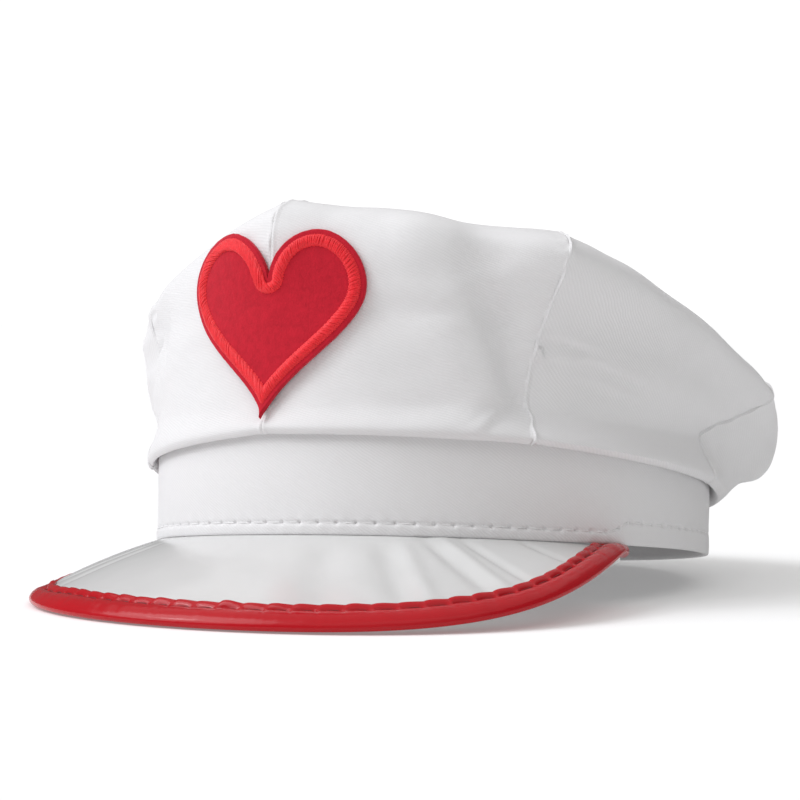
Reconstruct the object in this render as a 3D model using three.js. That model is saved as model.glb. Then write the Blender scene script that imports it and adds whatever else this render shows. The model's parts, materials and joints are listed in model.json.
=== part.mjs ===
// A soft peaked nurse cap: eight cloth crown gores on an oval cloth band, a stiff glossy peak with a
// wrapped binding on its edge, and a heart-shaped felt patch with a stitched border on the front seam.
//
// The cap is modelled upright, in millimetres: +X is the wearer's left, +Y the back, +Z up, and the
// origin is the middle of the band's lower edge. At the end the whole cap is tilted into the pose in
// which it lies on a table, on the back of its band and on the front edge of its peak.
import * as THREE from "three";

// Rows of numbers under named columns, made into records.
function table(columns, rows) {
  return rows.map((row) => Object.fromEntries(columns.map((column, i) => [column, row[i]])));
}

// Band: the head opening is an oval, longer from front to back.
const BAND_HALF_WIDTH = 85.5;
const BAND_HALF_LENGTH = 100.1;
const BAND_HEIGHT = 30;
const BAND_WALL = 2.5;
const BAND_SEGMENTS = 72;

// Cloth of the crown, and the gap that sewn pieces keep between their solids.
const CLOTH_WALL = 1.1;
const GAP = 0.3;
const SEAM_HALF_GAP = 0.15;
const GORE_COLUMNS = 8;

// Seam allowance of the crown, tucked over the top of the band.
const TUCK_INWARD = 1.4;
const TUCK_HEIGHT = 31.4;

// Middle of the crown's top, where the gores meet.
const CROWN_TOP = { x: 1.5, y: 21.5, z: 99 };
const CROWN_TIP_FRACTION = 0.95;

// Crown sections. One row is a seam or the middle of a gore, in turn, from the front seam round by the
// wearer's left. Angles are round the band, in degrees. "out" is the distance from the band's outer
// face, and the fold is where the side wall turns over into the top.
const CROWN_COLUMNS = [
  "at", "angle", "rollOut", "rollUp", "waistOut", "waistUp", "foldX", "foldY", "foldZ", "belly", "rise",
];
const CROWN_SECTIONS = table(CROWN_COLUMNS, [
  ["front seam", 0, 3.6, 29.4, 0.9, 38, 0.5, -98.2, 98.2, 0, -0.5],
  ["front left", 26, 3.8, 28.8, 0.8, 38, 41.5, -82.5, 92.4, -0.2, 1],
  ["side left seam", 51.5, 4, 28.1, -0.3, 39, 79.7, -61.6, 86.6, -4, 3],
  ["side left", 77, 4.2, 25, 1.6, 37, 94.3, -10, 72.9, 0.9, 1.2],
  ["back left seam", 102, 5, 21.9, 0.9, 37, 97.9, 46.1, 53.2, 1, 1.3],
  ["back left", 124, 5.5, 18, 8.5, 24, 81.8, 81.2, 44.6, 4.8, 1],
  ["rear left seam", 145, 6.5, 16.5, 10.2, 24, 62.4, 104, 40, 7.7, 1],
  ["rear left", 163, 7, 15.5, 10, 24.5, 34, 116, 39, 8, 1],
  ["rear seam", 180, 7, 15, 10, 25, 0, 120, 38, 8, 1],
  ["rear right", 197, 7, 15, 10, 25, -34, 116, 38, 8, 1],
  ["rear right seam", 215, 6.5, 15.5, 9.5, 25, -62, 103, 39, 7.5, 1],
  ["back right", 236, 6, 16.5, 8, 26, -82, 76, 42, 5.5, 1],
  ["back right seam", 258, 5.1, 18.5, 5, 30, -91.2, 38.6, 48.8, 1.6, 1],
  ["side right", 283, 4.4, 20.5, 5, 33.5, -96, -14.8, 59.5, 5, 1],
  ["side right seam", 308.5, 4, 23.5, 1.4, 36.7, -75.5, -58.9, 75.4, -3, 0.8],
  ["front right", 334, 3.8, 26.5, 1.6, 37.6, -39.8, -84.6, 86.2, 1.5, 0.8],
]);
const GORE_NAMES = [
  "crown_front_left", "crown_side_left", "crown_back_left", "crown_rear_left",
  "crown_rear_right", "crown_back_right", "crown_side_right", "crown_front_right",
];

// Stations up a section: tuck, edge, drop, roll, turn, waist, belly, fold, mid and top. These are the mesh
// steps from each station to the next.
const STATION_STEPS = [1, 1, 2, 2, 2, 3, 3, 4, 3];

// Soft dents and swells pressed into the gores. "across" goes from 0 to 1 over a gore, "station" counts
// the stations above, and "slant" shifts the dent across for each station up.
const DENT_COLUMNS = ["gore", "across", "station", "reachAcross", "reachUp", "slant", "depth"];
const DENTS = table(DENT_COLUMNS, [
  [0, 0.78, 6.3, 0.16, 0.9, -0.12, 3.2],
  [0, 0.45, 6.8, 0.2, 0.7, 0, -1.4],
  [0, 0.93, 5.6, 0.12, 0.5, 0, -1],
  [1, 0.35, 6.1, 0.25, 0.8, 0.1, 1.6],
  [1, 0.75, 6.2, 0.16, 0.6, -0.1, 1.2],
  [2, 0.4, 6.4, 0.25, 0.7, 0, 1.5],
  [4, 0.5, 6.5, 0.3, 0.6, 0.1, 1.5],
  [5, 0.55, 6.4, 0.25, 0.7, 0, 2],
  [6, 0.3, 6.2, 0.2, 0.8, 0.12, 2],
  [6, 0.9, 6.4, 0.12, 0.5, 0, 1.6],
  [7, 0.2, 6.3, 0.16, 0.6, 0.1, 1.8],
]);

// Peak: a stiff sheet sewn under the front of the band. It reaches furthest in the middle, swings
// forward towards its ends, and its outer edge lies on the table but for the ends.
const PEAK_REACH = 46.9;
const PEAK_HALF_ANGLE = 75.7;
const PEAK_ROUNDNESS = 3.47;
const PEAK_FULLNESS_RIGHT = 0.65;
const PEAK_FULLNESS_LEFT = 0.52;
const PEAK_SWING = 0.66;
const PEAK_LIFT_POWER_RIGHT = 9;
const PEAK_LIFT_POWER_LEFT = 3.71;
const PEAK_EDGE_HEIGHT = 1.77;
const PEAK_WALL = 1.2;
const PEAK_BULGE = 1.6;
const PEAK_TAB = 2;
const PEAK_END_DROP = 1.4;
const PEAK_COLUMNS = 44;
const PEAK_ROWS = 5;
const PEAK_END = 0.98;

// Binding: a strip wrapped round the peak's edge, a U in section.
const BINDING_WIDTH = 11;
const BINDING_WALL = 0.8;
const BINDING_PLAY = 0.45;
const BINDING_SLOT = PEAK_WALL + 2 * BINDING_PLAY;

// Patch: a felt heart with a raised stitched border, on the front seam.
const PATCH_WIDTH = 58;
const PATCH_HEIGHT = 57;
const PATCH_CENTRE_Z = 61.5;
const PATCH_FELT = 1.8;
const PATCH_MARGIN = 1.5;
const BORDER_WIDTH = 3.3;
const BORDER_HEIGHT = 1;
const PATCH_STEPS = 24;
const PATCH_RINGS = 8;
const PATCH_GAP = 0.65;

// Pose on the table: the front is tipped up and the wearer's left is a little higher.
const REST_TIP = 6.547;
const REST_ROLL = 2.492;

const rad = THREE.MathUtils.degToRad;
const tipSlope = Math.tan(rad(REST_TIP));
const rollSlope = Math.tan(rad(REST_ROLL));

// Height of the band's middle over the table, so that the lowest point of its oval touches it.
const restLift = Math.hypot(BAND_HALF_WIDTH * rollSlope, BAND_HALF_LENGTH * tipSlope);
const restTurn = new THREE.Euler(rad(-REST_TIP), rad(-REST_ROLL), 0);

const finish = (color, roughness) => new THREE.MeshStandardMaterial({ color, roughness, metalness: 0 });
const whiteTwill = () => finish(0xf0f0f4, 0.9);
const whiteVinyl = () => finish(0xeeeeee, 0.25);
const redVinyl = () => finish(0xb8202c, 0.3);
const redFelt = () => finish(0xb3202c, 0.95);
const redThread = () => finish(0xd0303a, 0.6);

// Oval of the band: the point at an angle, moved outwards.
function ovalNormal(angle) {
  const across = Math.sin(angle) / BAND_HALF_WIDTH;
  const along = -Math.cos(angle) / BAND_HALF_LENGTH;
  return new THREE.Vector3(across, along, 0).normalize();
}

function ovalPoint(angle, out, up) {
  const x = BAND_HALF_WIDTH * Math.sin(angle);
  const y = -BAND_HALF_LENGTH * Math.cos(angle);
  return new THREE.Vector3(x, y, up).addScaledVector(ovalNormal(angle), out);
}

// A closed wall from two grids of points, outer and inner, that have the same rows and columns.
function wallGeometry(outer, inner, closedColumns = false) {
  const columns = outer.length;
  const rows = outer[0].length;
  const points = [...outer.flat(), ...inner.flat()];
  const half = columns * rows;
  const index = [];
  const quad = (a, b, c, d) => index.push(a, b, c, a, c, d);
  const lastColumn = closedColumns ? columns : columns - 1;
  for (let i = 0; i < lastColumn; i += 1) {
    const here = i * rows;
    const next = ((i + 1) % columns) * rows;
    for (let j = 0; j < rows - 1; j += 1) {
      quad(here + j, next + j, next + j + 1, here + j + 1);
      quad(half + here + j, half + here + j + 1, half + next + j + 1, half + next + j);
    }
    quad(here, half + here, half + next, next);
    const top = rows - 1;
    quad(here + top, next + top, half + next + top, half + here + top);
  }
  if (!closedColumns) {
    const end = (columns - 1) * rows;
    for (let j = 0; j < rows - 1; j += 1) {
      quad(j, j + 1, half + j + 1, half + j);
      quad(end + j, half + end + j, half + end + j + 1, end + j + 1);
    }
  }
  return indexedGeometry(points, index);
}

function indexedGeometry(points, index) {
  const geometry = new THREE.BufferGeometry();
  const numbers = points.flatMap((point) => [point.x, point.y, point.z]);
  geometry.setAttribute("position", new THREE.Float32BufferAttribute(numbers, 3));
  geometry.setIndex(index);
  geometry.computeVertexNormals();
  return geometry;
}

// Normals of a grid whose columns run to the wearer's left and whose rows run up.
function gridNormals(grid) {
  const columns = grid.length;
  const rows = grid[0].length;
  return grid.map((column, i) => column.map((point, j) => {
    const before = grid[Math.max(i - 1, 0)][j];
    const after = grid[Math.min(i + 1, columns - 1)][j];
    const below = column[Math.max(j - 1, 0)];
    const above = column[Math.min(j + 1, rows - 1)];
    const across = after.clone().sub(before).normalize();
    const up = above.clone().sub(below).normalize();
    return across.cross(up).normalize();
  }));
}

// Stations of a crown section, from its row of the table.
function sectionStations(row) {
  const angle = rad(row.angle);
  const out = ovalNormal(angle);
  const drop = TUCK_HEIGHT - row.rollUp;
  const waist = ovalPoint(angle, row.waistOut, row.waistUp);
  const fold = new THREE.Vector3(row.foldX, row.foldY, row.foldZ);
  const top = new THREE.Vector3(CROWN_TOP.x, CROWN_TOP.y, CROWN_TOP.z);
  const belly = waist.clone().lerp(fold, 0.5).addScaledVector(out, row.belly);
  const mid = fold.clone().lerp(top, 0.5);
  mid.z += row.rise;
  return [
    ovalPoint(angle, -TUCK_INWARD, TUCK_HEIGHT),
    ovalPoint(angle, 0.2, TUCK_HEIGHT),
    ovalPoint(angle, 0.8, TUCK_HEIGHT - 0.55 * drop),
    ovalPoint(angle, 0.8 + 0.42 * (row.rollOut - 0.8), row.rollUp),
    ovalPoint(angle, row.rollOut, row.rollUp + 1.7),
    waist, belly, fold, mid, top,
  ];
}

// A smooth curve through the stations, with the steps of STATION_STEPS on each stretch.
function sectionCurve(stations) {
  const knots = [0];
  for (let i = 1; i < stations.length; i += 1) {
    knots.push(knots[i - 1] + Math.sqrt(stations[i].distanceTo(stations[i - 1])));
  }
  const slope = (i) => stations[i + 1].clone().sub(stations[i]).divideScalar(knots[i + 1] - knots[i]);
  const last = stations.length - 1;
  const tangents = stations.map((point, i) => {
    if (i === 0) return slope(0);
    if (i === last) return slope(last - 1);
    const before = knots[i] - knots[i - 1];
    const after = knots[i + 1] - knots[i];
    return slope(i - 1).multiplyScalar(after).addScaledVector(slope(i), before).divideScalar(before + after);
  });
  const points = [];
  const places = [];
  for (let i = 0; i < last; i += 1) {
    const steps = STATION_STEPS[i];
    const length = knots[i + 1] - knots[i];
    const reach = i === last - 1 ? CROWN_TIP_FRACTION : 1;
    for (let k = i === 0 ? 0 : 1; k <= steps; k += 1) {
      const s = (k / steps) * reach;
      const point = new THREE.Vector3();
      point.addScaledVector(stations[i], 2 * s ** 3 - 3 * s ** 2 + 1);
      point.addScaledVector(tangents[i], (s ** 3 - 2 * s ** 2 + s) * length);
      point.addScaledVector(stations[i + 1], 3 * s ** 2 - 2 * s ** 3);
      point.addScaledVector(tangents[i + 1], (s ** 3 - s ** 2) * length);
      points.push(point);
      places.push(i + s);
    }
  }
  return { points, places };
}

// The row of the table at a place across a gore: a parabola through seam, middle and seam.
function sectionAcross(gore, across) {
  const first = CROWN_SECTIONS[2 * gore];
  const middle = CROWN_SECTIONS[2 * gore + 1];
  const second = { ...CROWN_SECTIONS[(2 * gore + 2) % CROWN_SECTIONS.length] };
  if (second.angle === 0) second.angle = 360;
  const row = {};
  for (const column of Object.keys(first)) {
    if (column === "at") continue;
    const straight = first[column] * (1 - across) + second[column] * across;
    const swell = middle[column] - (first[column] + second[column]) / 2;
    row[column] = straight + swell * 4 * across * (1 - across);
  }
  return row;
}

function dentDepth(gore, across, place) {
  let depth = 0;
  for (const dent of DENTS) {
    if (dent.gore !== gore) continue;
    const up = (place - dent.station) / dent.reachUp;
    const side = (across - dent.across - dent.slant * (place - dent.station)) / dent.reachAcross;
    const seamFade = Math.min(1, 6 * across * (1 - across));
    depth += dent.depth * seamFade * Math.exp(-up * up - side * side);
  }
  return depth;
}

// The outer surface of a gore, dents included.
function goreSurface(gore) {
  const grid = [];
  const places = [];
  for (let i = 0; i <= GORE_COLUMNS; i += 1) {
    const curve = sectionCurve(sectionStations(sectionAcross(gore, i / GORE_COLUMNS)));
    grid.push(curve.points);
    places.push(curve.places);
  }
  const normals = gridNormals(grid);
  return grid.map((column, i) => column.map((point, j) => {
    const depth = dentDepth(gore, i / GORE_COLUMNS, places[i][j]);
    return point.clone().addScaledVector(normals[i][j], -depth);
  }));
}

const goreSurfaces = GORE_NAMES.map((name, gore) => goreSurface(gore));
const goreNormals = goreSurfaces.map((grid) => gridNormals(grid));

// Two gores share one direction of thickness at their seam, so their walls meet there.
function seamNormals(gore) {
  const count = GORE_NAMES.length;
  const before = goreNormals[(gore + count - 1) % count];
  const after = goreNormals[(gore + 1) % count];
  return goreNormals[gore].map((column, i) => column.map((normal, j) => {
    if (i === 0) return normal.clone().add(before[GORE_COLUMNS][j]).normalize();
    if (i === GORE_COLUMNS) return normal.clone().add(after[0][j]).normalize();
    return normal;
  }));
}

function crownGore(gore) {
  const surface = goreSurfaces[gore];
  const normals = seamNormals(gore);
  const outer = surface.map((column) => column.map((point) => point.clone()));
  const inner = surface.map((column, i) => column.map((point, j) => {
    return point.clone().addScaledVector(normals[i][j], -CLOTH_WALL);
  }));
  for (const [edge, beside] of [[0, 1], [GORE_COLUMNS, GORE_COLUMNS - 1]]) {
    for (let j = 0; j < surface[edge].length; j += 1) {
      const inwards = surface[beside][j].clone().sub(surface[edge][j]).setLength(SEAM_HALF_GAP);
      outer[edge][j].add(inwards);
      inner[edge][j].add(inwards);
    }
  }
  return wallGeometry(outer, inner);
}

function band() {
  const outer = [];
  const inner = [];
  for (let i = 0; i < BAND_SEGMENTS; i += 1) {
    const angle = (2 * Math.PI * i) / BAND_SEGMENTS;
    outer.push([ovalPoint(angle, 0, 0), ovalPoint(angle, 0, BAND_HEIGHT)]);
    inner.push([ovalPoint(angle, -BAND_WALL, 0), ovalPoint(angle, -BAND_WALL, BAND_HEIGHT)]);
  }
  return wallGeometry(outer, inner, true);
}

// Height over the table of an upright point, and the upright height that gives a wanted one.
function tableHeight(point) {
  return point.clone().applyEuler(restTurn).z + restLift;
}

function uprightHeight(x, y, height) {
  const level = tableHeight(new THREE.Vector3(x, y, 0));
  const gain = tableHeight(new THREE.Vector3(x, y, 1)) - level;
  return (height - level) / gain;
}

// The peak's outer edge at a place from -1, the wearer's right end, to 1, the left end.
function peakEdge(place) {
  const end = Math.abs(place);
  const angle = rad(place * PEAK_HALF_ANGLE);
  const fullness = place < 0 ? PEAK_FULLNESS_RIGHT : PEAK_FULLNESS_LEFT;
  const reach = PEAK_REACH * (1 - end ** PEAK_ROUNDNESS) ** fullness;
  const swing = PEAK_SWING * end;
  const out = ovalNormal(angle).multiplyScalar(1 - swing);
  out.y -= swing;
  out.normalize();
  const point = ovalPoint(angle, 0, 0).addScaledVector(out, reach);
  const power = place < 0 ? PEAK_LIFT_POWER_RIGHT : PEAK_LIFT_POWER_LEFT;
  const bandHeight = tableHeight(ovalPoint(angle, 0, 0));
  const height = PEAK_EDGE_HEIGHT + (bandHeight - PEAK_EDGE_HEIGHT) * end ** power;
  point.z = uprightHeight(point.x, point.y, height);
  return point;
}

function peakDrop(place) {
  return GAP + PEAK_END_DROP * Math.abs(place) ** 8;
}

// A point of the peak's upper face: along is 0 at the band and 1 at the outer edge.
function peakPoint(place, along) {
  const angle = rad(place * PEAK_HALF_ANGLE);
  const root = ovalPoint(angle, 0, -peakDrop(place));
  const edge = peakEdge(place);
  edge.z = Math.min(edge.z, -peakDrop(place) - 0.2);
  const point = root.lerp(edge, along);
  const width = 1 - Math.abs(place) ** 4;
  point.z += PEAK_BULGE * width * 4 * along * (1 - along);
  return point;
}

function peakPlaces() {
  const places = [];
  for (let i = 0; i <= PEAK_COLUMNS; i += 1) {
    const even = (2 * i) / PEAK_COLUMNS - 1;
    places.push(PEAK_END * (0.75 * Math.sin((even * Math.PI) / 2) + 0.25 * even));
  }
  return places;
}

// At a place on the edge: the way in over the sheet, the way up from it, and the binding's width.
function peakFrame(place) {
  const edge = peakPoint(place, 1);
  const length = edge.distanceTo(peakPoint(place, 0));
  const width = Math.min(BINDING_WIDTH, length - 1.2);
  const inward = peakPoint(place, 1 - width / length).sub(edge).normalize();
  const after = peakPoint(Math.min(place + 0.01, 1), 1);
  const beside = after.sub(peakPoint(Math.max(place - 0.01, -1), 1)).normalize();
  const up = inward.clone().cross(beside).normalize();
  if (up.z < 0) up.negate();
  return { edge, inward, up, width };
}

// The upper face as a grid, from the tab under the band to the outer edge less a setback.
function peakSurface(places, setback) {
  return places.map((place) => {
    const angle = rad(place * PEAK_HALF_ANGLE);
    const length = peakPoint(place, 0).distanceTo(peakPoint(place, 1));
    const column = [ovalPoint(angle, -PEAK_TAB, -peakDrop(place))];
    for (let j = 0; j <= PEAK_ROWS; j += 1) {
      column.push(peakPoint(place, (j / PEAK_ROWS) * (1 - setback / length)));
    }
    return column;
  });
}

function peak() {
  const places = peakPlaces();
  const upper = peakSurface(places, BINDING_WALL + GAP);
  const lower = upper.map((column, i) => {
    const { up } = peakFrame(places[i]);
    return column.map((point) => point.clone().addScaledVector(up, -PEAK_WALL));
  });
  return wallGeometry(lower, upper);
}

// The binding's section, walked round the U from the inner edge on top: distance in from the outer
// edge, and height over the middle of the peak's sheet.
function bindingSection(width) {
  const outside = BINDING_SLOT / 2 + BINDING_WALL;
  const inside = BINDING_SLOT / 2;
  return [
    [width, outside], [1.2, outside], [0.3, outside * 0.6], [0, 0], [0.3, -outside * 0.6], [1.2, -outside],
    [width, -outside], [width, -inside], [BINDING_WALL, -inside], [BINDING_WALL, inside], [width, inside],
  ];
}

function binding() {
  const rings = peakPlaces().map((place) => {
    const { edge, inward, up, width } = peakFrame(place);
    const middle = edge.clone().addScaledVector(up, -PEAK_WALL / 2);
    return bindingSection(width).map(([inset, height]) => {
      return middle.clone().addScaledVector(inward, inset).addScaledVector(up, height);
    });
  });
  return loopedGeometry(rings);
}

// A closed solid from rings of points, each walked the same way round, with flat ends.
function loopedGeometry(rings) {
  const size = rings[0].length;
  const index = [];
  for (let i = 0; i < rings.length - 1; i += 1) {
    for (let k = 0; k < size; k += 1) {
      const a = i * size + k;
      const b = i * size + ((k + 1) % size);
      index.push(a, b, b + size, a, b + size, a + size);
    }
  }
  const flat = bindingSection(BINDING_WIDTH).map(([x, y]) => new THREE.Vector2(x, y));
  const last = (rings.length - 1) * size;
  for (const [a, b, c] of THREE.ShapeUtils.triangulateShape(flat, [])) {
    index.push(a, c, b);
    index.push(last + a, last + b, last + c);
  }
  return indexedGeometry(rings.flat(), index);
}

// Distance forward of the front gores' outer surface at a place on the cap's front.
function frontDepth(x, z) {
  let depth = null;
  for (const grid of [goreSurfaces[0], goreSurfaces[GORE_NAMES.length - 1]]) {
    for (let i = 0; i < GORE_COLUMNS; i += 1) {
      for (let j = 5; j < grid[0].length - 4; j += 1) {
        const corners = [grid[i][j], grid[i + 1][j], grid[i + 1][j + 1], grid[i][j + 1]];
        for (const [a, b, c] of [[0, 1, 2], [0, 2, 3]]) {
          const found = depthInTriangle(x, z, corners[a], corners[b], corners[c]);
          if (found !== null && (depth === null || found < depth)) depth = found;
        }
      }
    }
  }
  return depth;
}

function depthInTriangle(x, z, a, b, c) {
  const area = (b.x - a.x) * (c.z - a.z) - (c.x - a.x) * (b.z - a.z);
  if (Math.abs(area) < 1e-9) return null;
  const v = ((x - a.x) * (c.z - a.z) - (c.x - a.x) * (z - a.z)) / area;
  const w = ((b.x - a.x) * (z - a.z) - (x - a.x) * (b.z - a.z)) / area;
  if (v < -1e-6 || w < -1e-6 || v + w > 1 + 1e-6) return null;
  return a.y + v * (b.y - a.y) + w * (c.y - a.y);
}

// Half of the heart's outline, from the cleft down its left side to the tip, set in by an inset.
function heartHalf(inset, steps) {
  const base = (t) => {
    const x = 16 * Math.sin(t) ** 3;
    const y = 13 * Math.cos(t) - 5 * Math.cos(2 * t) - 2 * Math.cos(3 * t) - Math.cos(4 * t);
    return new THREE.Vector2((x * PATCH_WIDTH) / 32, ((y + 2.52) * PATCH_HEIGHT) / 29);
  };
  const line = [];
  const cleft = base(0);
  for (let k = 0; k < 12; k += 1) {
    const turn = (k / 12) * (Math.PI / 2);
    line.push(new THREE.Vector2(cleft.x + inset * Math.sin(turn), cleft.y - inset * Math.cos(turn)));
  }
  for (let k = 4; k < 400; k += 1) {
    const t = (k / 400) * Math.PI;
    const way = base(t + 0.004).sub(base(t - 0.004)).normalize();
    line.push(base(t).add(new THREE.Vector2(way.y, -way.x).multiplyScalar(inset)));
  }
  const kept = line.filter((point, i) => i === 0 || point.x > 0.05);
  const last = kept[kept.length - 1];
  const before = kept[kept.length - 4];
  const share = last.x / (before.x - last.x);
  kept.push(new THREE.Vector2(0, last.y + (last.y - before.y) * share));
  return evenPoints(kept, steps);
}

function evenPoints(line, steps) {
  const lengths = [0];
  for (let i = 1; i < line.length; i += 1) lengths.push(lengths[i - 1] + line[i].distanceTo(line[i - 1]));
  const points = [];
  for (let k = 0; k <= steps; k += 1) {
    const wanted = (k / steps) * lengths[lengths.length - 1];
    let i = 1;
    while (i < line.length - 1 && lengths[i] < wanted) i += 1;
    const share = (wanted - lengths[i - 1]) / (lengths[i] - lengths[i - 1]);
    points.push(line[i - 1].clone().lerp(line[i], share));
  }
  return points;
}

// The whole outline, walked once round, with one point on the seam at the cleft and one at the tip.
function heartOutline(inset, steps) {
  const half = heartHalf(inset, steps);
  const other = half.slice(1, -1).reverse().map((point) => new THREE.Vector2(-point.x, point.y));
  return [...half, ...other];
}

// A flat place on the patch, laid on the crown's front at a height over the cloth.
function onFront(flat, height) {
  const x = flat.x;
  const z = PATCH_CENTRE_Z + flat.y;
  return new THREE.Vector3(x, frontDepth(x, z) - height, z);
}

function patchFelt() {
  const outline = heartOutline(0, PATCH_STEPS);
  const rings = [];
  for (let ring = 1; ring <= PATCH_RINGS; ring += 1) {
    rings.push(outline.map((point) => point.clone().multiplyScalar(ring / PATCH_RINGS)));
  }
  return diskGeometry(rings, PATCH_GAP, PATCH_GAP + PATCH_FELT);
}

// A disk with a centre point and rings, as thick as the two heights over the cloth.
function diskGeometry(rings, low, high) {
  const size = rings[0].length;
  const centre = new THREE.Vector2(0, 0);
  const layer = (height) => [onFront(centre, height), ...rings.flat().map((point) => onFront(point, height))];
  const points = [...layer(high), ...layer(low)];
  const half = points.length / 2;
  const index = [];
  const face = (a, b, c) => {
    index.push(a, c, b);
    index.push(half + a, half + b, half + c);
  };
  for (let k = 0; k < size; k += 1) {
    const next = (k + 1) % size;
    face(0, 1 + k, 1 + next);
    for (let ring = 0; ring < rings.length - 1; ring += 1) {
      const a = 1 + ring * size;
      face(a + k, a + size + k, a + size + next);
      face(a + k, a + size + next, a + next);
    }
    const rim = 1 + (rings.length - 1) * size;
    index.push(rim + k, rim + next, half + rim + next);
    index.push(rim + k, half + rim + next, half + rim + k);
  }
  return indexedGeometry(points, index);
}

function patchBorder() {
  const low = PATCH_GAP + PATCH_FELT + GAP;
  const outer = heartOutline(PATCH_MARGIN, PATCH_STEPS);
  const inner = heartOutline(PATCH_MARGIN + BORDER_WIDTH, PATCH_STEPS);
  const middle = outer.map((point, k) => point.clone().lerp(inner[k], 0.5));
  const rings = outer.map((point, k) => [
    onFront(point, low), onFront(point, low + BORDER_HEIGHT * 0.5), onFront(middle[k], low + BORDER_HEIGHT),
    onFront(inner[k], low + BORDER_HEIGHT * 0.5), onFront(inner[k], low), onFront(middle[k], low),
  ]);
  const size = rings[0].length;
  const index = [];
  for (let k = 0; k < rings.length; k += 1) {
    const next = (k + 1) % rings.length;
    for (let m = 0; m < size; m += 1) {
      const a = k * size + m;
      const b = k * size + ((m + 1) % size);
      const c = next * size + ((m + 1) % size);
      const d = next * size + m;
      index.push(a, b, c, a, c, d);
    }
  }
  return indexedGeometry(rings.flat(), index);
}

function piece(name, geometry, material) {
  const mesh = new THREE.Mesh(geometry, material);
  mesh.name = name;
  return mesh;
}

// The cap upright, then tilted onto the table, with the middle of its box's base at the origin.
const cap = new THREE.Group();
cap.add(piece("band", band(), whiteTwill()));
GORE_NAMES.forEach((name, gore) => cap.add(piece(name, crownGore(gore), whiteTwill())));
cap.add(piece("peak", peak(), whiteVinyl()));
cap.add(piece("peak_binding", binding(), redVinyl()));
cap.add(piece("patch_felt", patchFelt(), redFelt()));
cap.add(piece("patch_border", patchBorder(), redThread()));
cap.rotation.copy(restTurn);

const group = new THREE.Group();
group.add(cap);
group.updateMatrixWorld(true);
const box = new THREE.Box3().setFromObject(group, true);
cap.position.set(-(box.min.x + box.max.x) / 2, -(box.min.y + box.max.y) / 2, -box.min.z);

export default group;
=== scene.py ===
"""A soft white peaked nurse cap: the looks of its cloth, vinyl, felt and stitching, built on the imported
model. Every piece is worked out upright, in millimetres, from the same sizes as the solids, and is then
tipped into the pose in which the cap lies on a table."""
import json
import math
import random
from contextlib import contextmanager

import bmesh
import bpy
import numpy as np
from bpy.props import FloatProperty, FloatVectorProperty, IntProperty, PointerProperty
from mathutils import Matrix, Vector, noise
from mathutils.bvhtree import BVHTree


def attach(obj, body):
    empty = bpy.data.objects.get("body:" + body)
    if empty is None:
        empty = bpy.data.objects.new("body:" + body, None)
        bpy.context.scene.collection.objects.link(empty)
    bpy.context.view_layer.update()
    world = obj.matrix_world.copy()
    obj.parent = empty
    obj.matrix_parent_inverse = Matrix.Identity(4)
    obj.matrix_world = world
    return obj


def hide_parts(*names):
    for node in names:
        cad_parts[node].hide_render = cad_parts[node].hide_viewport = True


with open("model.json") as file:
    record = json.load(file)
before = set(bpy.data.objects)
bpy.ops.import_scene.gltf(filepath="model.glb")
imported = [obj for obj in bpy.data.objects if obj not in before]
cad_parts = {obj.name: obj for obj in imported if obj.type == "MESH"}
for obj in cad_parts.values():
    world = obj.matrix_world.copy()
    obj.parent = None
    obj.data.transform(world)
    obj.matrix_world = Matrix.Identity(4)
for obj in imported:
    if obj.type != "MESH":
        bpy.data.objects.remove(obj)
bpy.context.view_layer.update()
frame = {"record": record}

bl_info = {
    "name": "Soft peaked cap",
    "version": (1, 0, 0),
    "blender": (4, 5, 0),
    "location": "View3D > Sidebar > Cap",
    "description": "Builds a soft cloth cap with a glossy peak, a wrapped binding and a felt patch",
    "category": "Add Mesh",
}

MM = 0.001
MOUNTS = {mount["name"]: mount for mount in frame["record"]["mounts"]}


def table(columns, rows):
    return [dict(zip(columns.split(), row)) for row in rows]


# The oval band.
BAND_HALF_WIDTH = 85.5
BAND_HALF_LENGTH = 100.1
BAND_HEIGHT = 30.0
BAND_WALL = 2.5

# The crown's cloth, tucked over the band's top, and the middle of its top.
CLOTH_WALL = 1.1
TUCK_INWARD = 1.4
TUCK_HEIGHT = 31.4
CROWN_TOP = (1.5, 21.5, 99.0)
CROWN_TIP_FRACTION = 0.992

# A section's first stations: how far out the band's top edge and the end of the drop beside it are, how much
# of the way down the drop ends, how much of the way out the roll starts, and how high the turn after it is.
EDGE_OUT = 0.2
DROP_OUT = 0.8
DROP_SHARE = 0.55
ROLL_SHARE = 0.42
TURN_RISE = 1.7

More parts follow.
